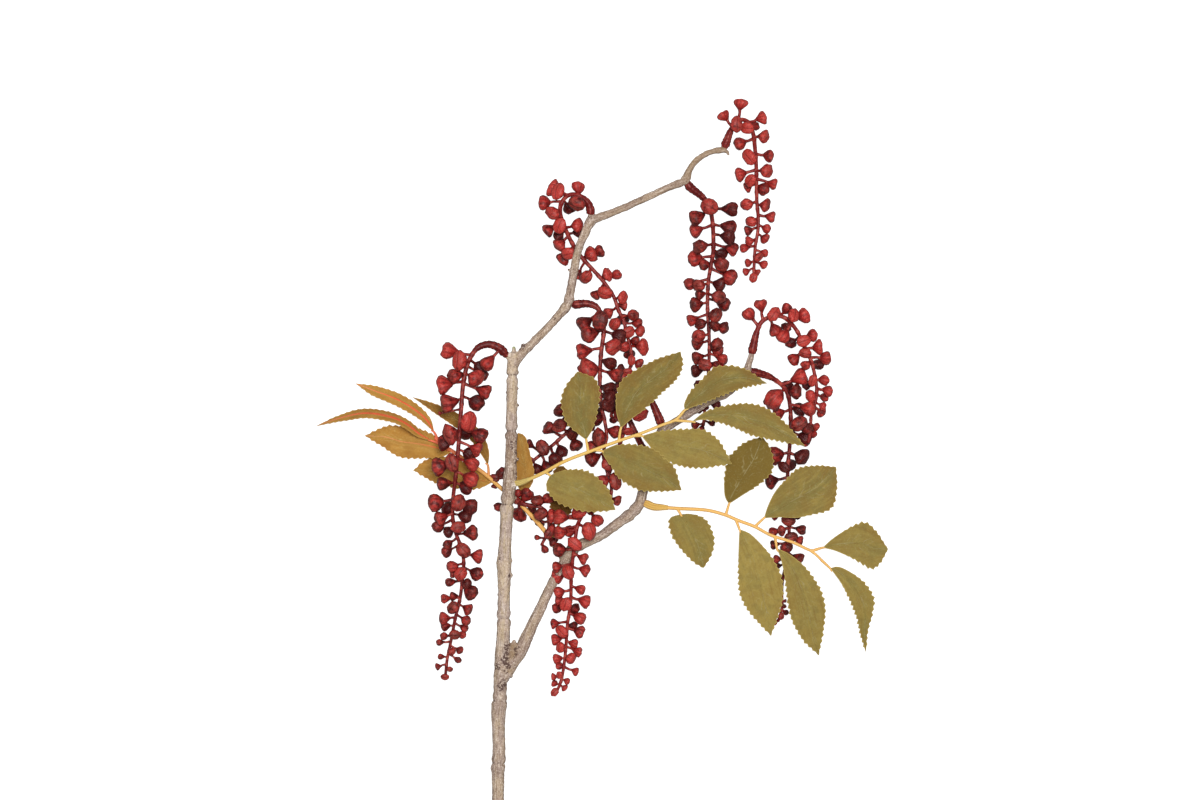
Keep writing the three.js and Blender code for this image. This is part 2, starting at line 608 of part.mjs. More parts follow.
// The rows of a blade: left edge, midrib and right edge at each half tooth, from base to tip
function bladeRows(leaf) {
  const edges = [edgeOf(leaf, "left"), edgeOf(leaf, "right")];
  const count = 2 * Math.round(edges[0].length / TOOTH_SPACING);
  const rows = [];
  for (let i = 0; i <= count; i += 1) {
    const share = i / count;
    const [left, right] = edges.map((edge) => edge.placeAt(edge.length * share).point);
    const middle = left.clone().lerp(right, 0.5);
    const isTooth = i % 2 === 1;
    const [leftEdge, rightEdge] = edges.map((edge) => {
      const point = edge.placeAt((edge.length * (i + (isTooth ? TOOTH_LEAN : 0))) / count).point;
      const outward = point.clone().sub(middle).normalize();
      return point.addScaledVector(outward, (isTooth ? 0.5 : -0.5) * TOOTH_DEPTH);
    });
    const swell = Math.sin(Math.PI * share);
    const height = mix(leaf.heights, share) + leaf.arch * swell;
    leftEdge.z = height + (leaf.fold - leaf.roll) * swell;
    middle.z = height;
    rightEdge.z = height + (leaf.fold + leaf.roll) * swell;
    rows.push([leftEdge, middle, rightEdge]);
  }
  return rows;
}

// A thin closed leaf: rows of three points, the first two rows its petiole and the rest its blade,
// split into the same triangles above and below
function leafSolid(rows) {
  const last = rows.length - 1;
  const positions = [];
  const [upper, lower] = [0.5, -0.5].map((share) => rows.map((row, i) => {
    const inner = Math.min(Math.max(i, 1), last - 1);
    const across = rows[inner][2].clone().sub(rows[inner][0]);
    const along = rows[inner + 1][1].clone().sub(rows[inner - 1][1]);
    const normal = across.cross(along).normalize();
    const thickness = i < 2 ? 2 * PETIOLE_RADIUS : BLADE_THICKNESS;
    const points = i === last ? [row[1]] : row;
    return points.map((point) => (
      positions.push(point.clone().addScaledVector(normal, share * thickness)) - 1
    ));
  }));
  const triangles = [];
  [upper, lower].forEach((rings) => {
    const add = (a, b, c) => triangles.push(rings === upper ? [a, b, c] : [a, c, b]);
    for (let i = 0; i < last - 1; i += 1) {
      for (let k = 0; k < 2; k += 1) {
        add(rings[i][k], rings[i][k + 1], rings[i + 1][k]);
        add(rings[i][k + 1], rings[i + 1][k + 1], rings[i + 1][k]);
      }
    }
    add(rings[last - 1][0], rings[last - 1][1], rings[last][0]);
    add(rings[last - 1][1], rings[last - 1][2], rings[last][0]);
  });
  const rimOf = (rings) => [
    ...rings.slice(0, last).map((ring) => ring[0]),
    rings[last][0],
    ...rings.slice(0, last).map((ring) => ring[2]).reverse(),
    rings[0][1],
  ];
  const upperRim = rimOf(upper);
  const lowerRim = rimOf(lower);
  upperRim.forEach((high, i) => {
    const next = (i + 1) % upperRim.length;
    triangles.push([high, upperRim[next], lowerRim[i]]);
    triangles.push([upperRim[next], lowerRim[next], lowerRim[i]]);
  });
  return solidOf(positions.flatMap((p) => p.toArray()), triangles.flat());
}

// The two rows of a petiole, from the stem's axis to the blade's base
function petioleRows(foot, base) {
  const half = base.clone().sub(foot).cross(UP).setLength(PETIOLE_RADIUS);
  return [foot, base].map((point) => [point.clone().sub(half), point, point.clone().add(half)]);
}

leafyStems.forEach((stem) => {
  stem.axes = [stem.path, ...stem.forks.map((rows) => new Route(rows.map((row) => at(...row))))];
  stem.footDistances = stem.axes.map(() => []);
  stem.leafRows = stem.leaves.map((leaf) => {
    const nearest = stem.axes.map((axis) => axis.nearestInPlan(at(...leaf.foot, 0)));
    const which = nearest.reduce((best, place, i) => (place.away < nearest[best].away ? i : best), 0);
    stem.footDistances[which].push(nearest[which].distance);
    const blade = bladeRows(leaf);
    return [...petioleRows(nearest[which].point, blade[0][1]), ...blade.slice(1)];
  });
});

function leafAxisRadius(stem, distance) {
  const taper = 1 - (LEAF_AXIS_TAPER * distance) / stem.path.length;
  return distance <= stem.collar ? LEAF_COLLAR_RADIUS : LEAF_AXIS_RADIUS * taper;
}

function leafyStemSolid(stem) {
  const pieces = stem.axes.map((axis, i) => {
    const ends = i === 0 ? [0, STRAIGHT_RUN, stem.collar, stem.collar + 2] : [0];
    const feet = stem.footDistances[i].filter((distance) => distance > stem.collar + 2);
    const distances = withBends(axis, [...ends, ...feet, axis.length].sort((a, b) => a - b));
    const points = distances.map((distance) => axis.placeAt(distance).point);
    const radii = distances.map((distance) => (
      i === 0 ? leafAxisRadius(stem, distance) : PETIOLE_RADIUS
    ));
    return tube(points, radii, 6);
  });
  return wasm.Manifold.union([...pieces, ...stem.leafRows.map(leafSolid)]);
}

// Racemes

// A berry's surface: a stalk from inside the raceme's axis flares to a wide shoulder under a low
// domed cap. It stands at the berry's place, along the berry's direction.
function berrySolid(berry) {
  const { width, stalk, direction } = berry;
  const profile = [
    [0, STALK_ROOT],
    [width * STALK_RADIUS, stalk],
    [width / 2, stalk + width * BERRY_SHOULDER],
    [0, stalk + width * BERRY_HEIGHT],
  ].map(([x, y]) => new THREE.Vector2(x, y));
  const geometry = new THREE.LatheGeometry(profile, BERRY_SIDES);
  geometry.scale(1, 1, BERRY_OVAL);
  geometry.rotateY(berry.roll);
  const across = berry.along.clone().cross(direction).normalize();
  const third = across.clone().cross(direction);
  geometry.applyMatrix4(new THREE.Matrix4().makeBasis(across, direction, third));
  geometry.translate(berry.point.x, berry.point.y, berry.point.z);
  geometry.deleteAttribute("normal");
  geometry.deleteAttribute("uv");
  const merged = mergeVertices(geometry, MERGE_DISTANCE);
  return solidOf(merged.attributes.position.array, merged.index.array);
}

function axisRadius(raceme, distance) {
  if (distance < raceme.collar) {
    return mix([RACEME_COLLAR_RADIUS, RACEME_AXIS_RADIUS], distance / raceme.collar);
  }
  const share = (distance - raceme.collar) / (raceme.path.length - raceme.collar);
  return mix([RACEME_AXIS_RADIUS, RACEME_TIP_RADIUS], share);
}

// The distances of a raceme's whorls along its axis. The share says how far each has gone from the
// first whorl's size to the last one's, most of it near the tip.
function whorlsOf(raceme) {
  const span = raceme.path.length - raceme.begins;
  const whorls = [];
  let run = 0;
  while (run < span) {
    const share = (run / span) ** 2;
    whorls.push({ distance: raceme.begins + run, share });
    run += mix(raceme.pitches, share);
  }
  return whorls;
}

// What the berries of a raceme keep clear of: the bark, the axes and petioles of all other pieces,
// and the blades
const RODS_OF = new Map();
racemes.forEach((raceme) => {
  const distances = evenly(0, raceme.path.length, ROD_LENGTH);
  const points = distances.map((distance) => raceme.path.placeAt(distance).point);
  const radii = distances.map((distance) => axisRadius(raceme, distance));
  RODS_OF.set(raceme.name, rodsAlong(points, radii));
});
leafyStems.forEach((stem) => {
  const axisRods = stem.axes.flatMap((axis) => {
    const distances = evenly(0, axis.length, ROD_LENGTH);
    const points = distances.map((distance) => axis.placeAt(distance).point);
    return rodsAlong(points, distances.map((distance) => leafAxisRadius(stem, distance)));
  });
  const petioleRods = stem.leafRows.flatMap((rows) => (
    rodsAlong([rows[0][1], rows[1][1]], [PETIOLE_RADIUS, PETIOLE_RADIUS])
  ));
  RODS_OF.set(stem.name, [...axisRods, ...petioleRods]);
});
const BLADE_BEADS = leafyStems.flatMap((stem) => stem.leafRows.flatMap((rows) => (
  rows.slice(1).flatMap(([left, middle, right]) => (
    [left, left.clone().lerp(middle, 0.5), middle, middle.clone().lerp(right, 0.5), right]
      .map((centre) => ({ centre, radius: BLADE_THICKNESS }))
  ))
)));

// The berries of a raceme, whorl by whorl. A berry is turned round the axis, by a little at a time
// to one side and the other, until it is clear of everything else, or left out.
function berriesOf(raceme, placedBeads) {
  const draw = seededDraws(raceme.seed);
  const others = [...RODS_OF].filter(([name]) => name !== raceme.name);
  const rods = [...BRANCH_RODS, ...others.flatMap(([, list]) => list)];
  const beads = [...BLADE_BEADS, ...placedBeads];
  const berries = [];
  whorlsOf(raceme).forEach(({ distance, share }, whorl) => {
    const { point, along } = raceme.path.placeAt(distance);
    const side = along.clone().cross(UP).normalize();
    const top = side.clone().cross(along);
    for (let k = 0; k < BERRIES_PER_WHORL; k += 1) {
      const draws = [draw(), draw(), draw(), draw(), draw()];
      const width = mix(raceme.widths, share) * mix(WIDTH_SPREAD, draws[0]);
      const stalk = mix(raceme.stalks, share) * mix(STALK_SPREAD, draws[1]);
      const lean = mix(k % 2 === 0 ? LEANS_OF_EVEN : LEANS_OF_ODD, draws[2]);
      const turn = whorl * WHORL_TWIST + (k * 2 * Math.PI) / BERRIES_PER_WHORL
        + mix(TURN_SPREAD, draws[3]) + raceme.seed;
      const radius = width / 2;
      for (let attempt = 0; attempt < TRIES; attempt += 1) {
        const sign = attempt % 2 === 0 ? 1 : -1;
        const angle = turn + sign * Math.ceil(attempt / 2) * TRY_TURN;
        const direction = side.clone().multiplyScalar(Math.cos(angle) * Math.cos(lean))
          .addScaledVector(top, Math.sin(angle) * Math.cos(lean))
          .addScaledVector(along, -Math.sin(lean));
        const centre = point.clone().addScaledVector(direction, stalk + width * BERRY_MIDDLE);
        const stalkEnd = point.clone().addScaledVector(direction, stalk);
        const crowded = berries.some((berry) => (
          centre.distanceTo(berry.centre) < OWN_CROWDING * (radius + berry.radius)
        ));
        if (!crowded && isClear(centre, radius, rods, beads)
          && isClear(stalkEnd, width * STALK_RADIUS * 2, rods, beads)) {
          const roll = draws[4] * Math.PI;
          berries.push({ point, along, direction, width, stalk, roll, centre, radius, whorl, k });
          break;
        }
      }
    }
  });
  return berries;
}

// The solid keeps three berries in five, and the places left out go round and down the axis
function isKept(berry) {
  return (2 * berry.whorl + berry.k) % 5 < KEPT_OF_FIVE;
}

function racemeSolid(raceme, berries) {
  const { path, collar } = raceme;
  const whorls = whorlsOf(raceme).map((whorl) => whorl.distance);
  const distances = withBends(path, [0, STRAIGHT_RUN, collar, ...whorls, path.length]);
  const points = distances.map((distance) => path.placeAt(distance).point);
  const axis = tube(points, distances.map((distance) => axisRadius(raceme, distance)), 4);
  return wasm.Manifold.union([axis, ...berries.filter(isKept).map(berrySolid)]);
}

// The spray

const BARK = new THREE.MeshStandardMaterial({ color: 0xa9998a, roughness: 0.85, metalness: 0 });
const BERRY_RED = new THREE.MeshStandardMaterial({ color: 0x8c2424, roughness: 0.55, metalness: 0 });

const spray = new THREE.Group();

function addPiece(name, solid, material) {
  const mesh = new THREE.Mesh(geometryOf(solid), material);
  mesh.name = name;
  spray.add(mesh);
}

addPiece("branch", branchSolid(), BARK);
leafyStems.forEach((stem) => {
  const leaf = new THREE.MeshStandardMaterial({ color: stem.colour, roughness: 0.75, metalness: 0 });
  addPiece(stem.name, leafyStemSolid(stem), leaf);
});
const placedBeads = [];
racemes.forEach((raceme) => {
  const berries = berriesOf(raceme, placedBeads);
  placedBeads.push(...berries);
  addPiece(raceme.name, racemeSolid(raceme, berries), BERRY_RED);
});

export default spray;
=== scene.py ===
"""A cut spray of pokeweed that lies on a pale floor, seen from straight above.

A forked grey-brown branch carries ten hanging racemes of dark red berries and three leafy stems.
The plan tables are in steps of 0.65 mm, heights and sizes are in millimetres, and the meshes are
in metres, +Z up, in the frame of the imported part.
"""

from __future__ import annotations

import logging
import math
import random
from dataclasses import dataclass, field
from enum import Enum
from typing import Any, Sequence

import bpy
import numpy as np
from mathutils import Matrix, Vector, noise
from mathutils.kdtree import KDTree


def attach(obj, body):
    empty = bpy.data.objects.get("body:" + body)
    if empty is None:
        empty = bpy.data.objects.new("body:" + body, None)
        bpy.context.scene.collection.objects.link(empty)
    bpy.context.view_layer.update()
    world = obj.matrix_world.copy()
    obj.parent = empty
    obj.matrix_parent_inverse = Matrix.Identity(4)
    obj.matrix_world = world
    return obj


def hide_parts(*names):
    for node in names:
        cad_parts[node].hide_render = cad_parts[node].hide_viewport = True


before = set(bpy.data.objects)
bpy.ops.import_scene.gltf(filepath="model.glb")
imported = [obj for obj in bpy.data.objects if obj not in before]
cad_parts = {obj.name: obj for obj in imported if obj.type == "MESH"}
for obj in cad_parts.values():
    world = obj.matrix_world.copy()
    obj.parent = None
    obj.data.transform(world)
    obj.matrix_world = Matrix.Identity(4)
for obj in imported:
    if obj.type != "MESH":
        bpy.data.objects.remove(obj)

log = logging.getLogger("spray")

Array = np.ndarray
Colour = tuple[float, float, float]
Rows = tuple[tuple[float, ...], ...]

# Lengths, in millimetres
MM = 0.001
PER_MM = 1 / MM
MM_PER_STEP = 0.65
PLAN_ORIGIN = (601.0, 531.0)
JOINT_GAP = 0.3
BARK_CLEARANCE = 0.4
STRAIGHT_RUN = 1.0
RACEME_COLLAR_RADIUS = 2.3
LEAF_COLLAR_RADIUS = 2.1
COLLAR_REACH = 1.1

# How finely routes are followed, and the gap that counts as a seam, in metres
STEPS_PER_SPAN = 10
SPRINGING_STEP = 0.25
RIM_POINTS = 8
TUBE_STEP = 1.2
SEAM = 1e-7

# The steps of a round end, and of a collar's rim: how far back each starts, and its girth
END_LIFTS = (0.4, 0.75, 0.95)
RIM_STARTS = (1.0, 0.6)
RIM_GIRTHS = (0.8, 0.97)

UP = np.array([0.0, 0.0, 1.0])


class Tone(Enum):
    """How red the berries of a raceme are."""

    BRIGHT = 0.35
    DARK = -0.25


@dataclass(frozen=True)
class RacemePlan:
    """A raceme: where it springs, its route, its knots and its berries.

    The first knot is at begins, and the pitch goes from the first of the pitches to the second. A
    berry's row is its plan x, plan y, height, width and how much redder than the rest it is; the
    lowest of these tones are painted shade, on berries under leaves and beneath other berries.
    """

    name: str
    tone: Tone
    seed: int
    width: float
    collar: float
    begins: float
    pitches: tuple[float, float]
    root: tuple[float, ...]
    route: Rows
    berries: Rows
    reach: float = COLLAR_REACH


@dataclass(frozen=True)
class LeafPlan:
    """A leaf: its petiole's foot, its base, tip and edges, and how its blade is bent and marked."""

    foot: tuple[float, float]
    base: tuple[float, float]
    tip: tuple[float, float]
    left: Rows
    right: Rows
    heights: tuple[float, float]
    arch: float
    roll: float = 0.0
    fold: float = 1.0
    shade: float = 0.0
    rib: float = 0.3
    teeth: float = 1.3
    bare: float = 0.15


@dataclass(frozen=True)
class LeafyStemPlan:
    """A leafy stem: where it springs, its route and forks, and its leaves."""

    name: str
    root: tuple[float, ...]
    collar: float
    route: Rows
    leaves: tuple[LeafPlan, ...]
    forks: tuple[Rows, ...] = ()
    girth: float = 1.0
    flare: float = 1.0


# The branch: rows of plan x, plan y, height and radius along each limb, its stub, nub and fork

MAIN_STEM: Rows = (
    (497, 948, 3.97, 4.3), (497, 918, 3.97, 4.3), (497.5, 880, 4.1, 4.1), (497.7, 840, 4.4, 4),
    (497.5, 800, 5, 3.9), (497.5, 776, 5.9, 4.2), (497.5, 766, 6.3, 4.8), (498.5, 757, 6.7, 4.2),
    (498, 735, 7.3, 4.2), (498, 716, 8, 4.8), (499, 704, 8.4, 5), (499.5, 695, 8.9, 4.3),
    (500, 682, 9.4, 4.6), (501.5, 668, 10, 5.2), (502.4, 656, 10.5, 5.3), (502.8, 642, 11.4, 4.5),
    (503.4, 626, 12.5, 4.2), (503.3, 619, 12.8, 4.5), (503.4, 610, 13.3, 4), (503.8, 593, 14.2, 3.9),
    (504.2, 576, 15.4, 4.5), (503.9, 564, 16, 4.9), (504.7, 550, 16.8, 4.2), (505.6, 535, 17.8, 4.1),
    (506.5, 518, 18.9, 4.1), (507.1, 506, 19.5, 4.4), (508.5, 492, 20.3, 4.3), (509.8, 480, 20.9, 4.4),
    (510.8, 468, 21.4, 3.9), (511.3, 448, 22.2, 3.7), (511.5, 433, 23, 3.9), (511.7, 424, 23.5, 3.6),
    (512.1, 400, 24.5, 3.6), (512.4, 380, 25.4, 3.6), (512.5, 373, 25.6, 3.9), (512.9, 364, 25.9, 3.7),
    (513.5, 353, 26.2, 3.6),
)

SIDE_BRANCH: Rows = (
    (504, 668, 10.4, 4.2), (514, 660, 10.6, 4.7), (521, 650, 10.9, 4.4), (525.6, 640, 11.2, 4.1),
    (533, 624, 11.8, 3.7), (540.8, 608, 12.3, 3.4), (548.2, 592, 12.8, 3.2), (555.3, 578, 13.2, 3.3),
    (563, 565, 13.6, 3.9), (572, 551, 14.1, 4.3), (581, 545, 14.5, 3.5), (600, 536.5, 15.5, 3),
    (611, 528.5, 16.1, 3.3), (622, 520.5, 16.7, 3.4), (632, 513, 17.2, 3.9), (639.5, 503.5, 17.7, 3.6),
    (643.3, 490, 18.3, 3.3), (649, 470, 19.2, 3.1), (655, 450, 20.2, 3.1), (663, 430, 21, 3.3),
    (672, 424, 21.4, 2.8), (700, 406.5, 22.5, 2.7), (714, 398.5, 22.9, 2.6), (727, 393, 23.1, 2.9),
    (737, 382, 23.3, 2.6), (746, 371, 23.5, 2.9), (748.5, 364, 23.8, 2.1), (751.5, 354, 24.2, 1.9),
)

UPPER_BRANCH: Rows = (
    (512.5, 368, 25.9, 3.3), (517.5, 359, 26.1, 3.4), (526, 350, 26.3, 2.9), (545, 331, 26.5, 2.7),
    (560.5, 314, 26.8, 2.8), (567.7, 304.5, 27, 3.5), (570, 295, 27.1, 2.9), (573.4, 276, 27.4, 2.7),
    (578, 252, 27.7, 2.7), (583.8, 237, 27.9, 2.7), (591, 221.5, 28, 3.4), (598, 218.5, 28.1, 2.8),
    (615, 212.3, 28.3, 2.4), (640, 201.3, 28.6, 2.3), (663, 190.6, 28.8, 2.3), (676, 185.2, 28.9, 2.5),
    (684.5, 181.3, 29, 3.1), (688.5, 172, 29, 2.2), (693.5, 164, 29, 2), (701, 157.5, 29, 1.9),
    (711, 152.8, 29, 1.8), (724, 150.4, 29, 2.2),
)

STUB: Rows = (
    (511, 664, 10, 2.8), (512.3, 655, 12.2, 3.3), (513, 648, 13.4, 3), (513.5, 643.5, 14, 1.9),
    (513.8, 640.5, 14.3, 0.8),
)

NUB: Rows = (
    (513.5, 357, 26, 2.4), (514, 351.5, 26.4, 1.6), (514.2, 348.5, 26.8, 1.25), (514.3, 346.6, 27, 1.1),
)

FORK_SWELLING: Rows = (
    (503, 680, 9.5, 3.5), (508, 672, 10, 4), (513, 664, 10.6, 3.9), (518, 656, 11, 3.4),
)

# The small buds, by plan x, plan y, height and radius

BUDS: Rows = (
    (518.3, 388.6, 25.2, 0.9), (518.4, 405.4, 24.4, 0.9), (506.8, 392.6, 25, 0.9), (524, 346.4, 27.4, 1.7),
    (522.5, 348.6, 26.8, 1.1), (518.4, 372.3, 25.8, 0.8), (510.5, 575.3, 16.5, 1.6), (498.6, 558, 17.5, 1.4),
    (497.6, 595.2, 14.2, 0.8), (497.6, 563.5, 16.4, 1.5), (510.6, 561, 16.6, 1.4), (509, 625.4, 12.8, 0.8),
    (493.5, 703.3, 9, 1.1), (506.6, 704.5, 9, 0.8), (510.8, 677.6, 10.6, 1.2), (517.8, 459, 23, 1),
    (568.6, 270.3, 27.6, 0.9), (641, 200.5, 30, 1.2), (533, 337.6, 27, 0.9), (727, 153, 29, 1.3),
    (728, 155.4, 28.7, 0.9),
)

# The joints, each a groove: the limb, plan x, plan y and the groove's depth

RINGS: tuple[tuple[int, float, float, float], ...] = (
    (0, 512.5, 375.5, 0.95), (0, 511.5, 431, 0.95), (0, 507.1, 505, 0.95), (0, 503.3, 619, 0.9),
    (0, 499, 669, 0.5), (0, 499, 702, 0.6), (0, 497.5, 765, 0.8), (1, 563, 565, 0.4), (1, 577, 547, 0.5),
    (1, 632, 513, 0.5), (1, 660, 437, 0.4), (1, 727, 393, 0.4), (2, 567.7, 304.5, 0.5), (2, 587, 229, 0.4),
    (2, 681, 182.5, 0.4),
)

# Marks on the upper side of the bark: plan x, plan y, radius, lift and strength

MARKS: dict[str, Rows] = {
    "dark": (
        (514, 485, 2.8, 0.5, 0.45), (509, 575.5, 1.6, 0.6, 0.8), (500, 553, 1.4, 0.4, 0.5),
        (499.6, 558.6, 1.1, 0, 1), (497.5, 571, 0.9, 0, 0.7), (511.7, 443, 1.5, -0.3, 1),
        (512, 448, 1.3, -0.2, 0.8), (518.6, 388.6, 0.9, 0, 1), (518.6, 405.4, 0.9, 0, 1),
        (506.5, 392.6, 0.8, 0, 0.7), (497.4, 595.2, 0.8, 0, 0.8), (509.2, 625.4, 0.7, 0, 0.7),
        (493.2, 703.3, 1, 0, 0.9), (506.8, 704.5, 0.8, 0, 0.9), (518.2, 459, 1, 0, 0.8),
        (568.4, 270.3, 0.9, 0, 0.8), (641, 200.3, 1.1, 0, 0.7), (513.5, 405, 1, 0, 0.5),
        (506.5, 646, 2.4, 0, 1), (506, 653, 2.3, 0, 1), (505.5, 660, 2.3, 0, 1), (501.5, 660, 1.6, 0, 0.5),
        (497.5, 666, 1.9, 0, 0.85), (505.5, 664.5, 1.9, 0, 0.8), (504.5, 672, 0.8, -0.3, 0.8),
        (507, 674, 0.8, -0.4, 0.9), (510.4, 677.5, 0.9, 0.6, 1), (499, 686.5, 1.8, 0, 0.8),
        (503, 683, 2.1, 0, 1), (508.5, 667.5, 2.1, 0, 0.9), (501, 690, 1.9, 0, 0.9),
        (506.5, 686, 1.6, 0, 0.8), (495, 669.5, 0.9, 0, 0.9), (498.5, 670.3, 0.9, 0, 0.7),
        (501.5, 671, 0.8, 0, 0.6), (497.4, 634, 0.7, 0, 0.6), (515, 650, 1.2, -0.5, 1),
        (516.5, 654, 1.2, -0.5, 1), (514.5, 657, 1.1, -0.3, 0.8), (518, 648, 1, -0.3, 0.8),
        (573, 548, 2.4, 0.3, 0.9), (523.6, 346.6, 1.5, 1.1, 1), (520.5, 349.8, 0.8, 0.5, 0.9),
        # Painted shadow: the five marks near plan x 516, from plan y 441 to 473, darken the main stem's
        # right side where the leaves shade it
        (501, 595, 1, 0, 0.4), (516.6, 452, 1.7, 0, 0.9), (516.6, 462, 1.9, 0, 0.85),
        (516.8, 441, 1.6, 0, 0.8), (517, 446.5, 1.3, 0, 0.7), (515.5, 473, 1.6, 0, 0.5),
        (506, 455, 1.4, 0, 0.4), (569, 285, 1.4, 0, 0.5), (555, 319, 1.2, 0.4, 0.7),
    ),
    "pale": (
        (514, 485, 1.6, 0.5, 1), (509.5, 354, 1.4, 0.3, 1), (500, 645, 2.5, 0, 0.4),
    ),
    "olive": (
        (512.5, 647, 2.6, 0, 0.8), (512, 655, 2.8, 0, 0.8), (509.5, 671, 2.2, 0, 0.5),
    ),
}

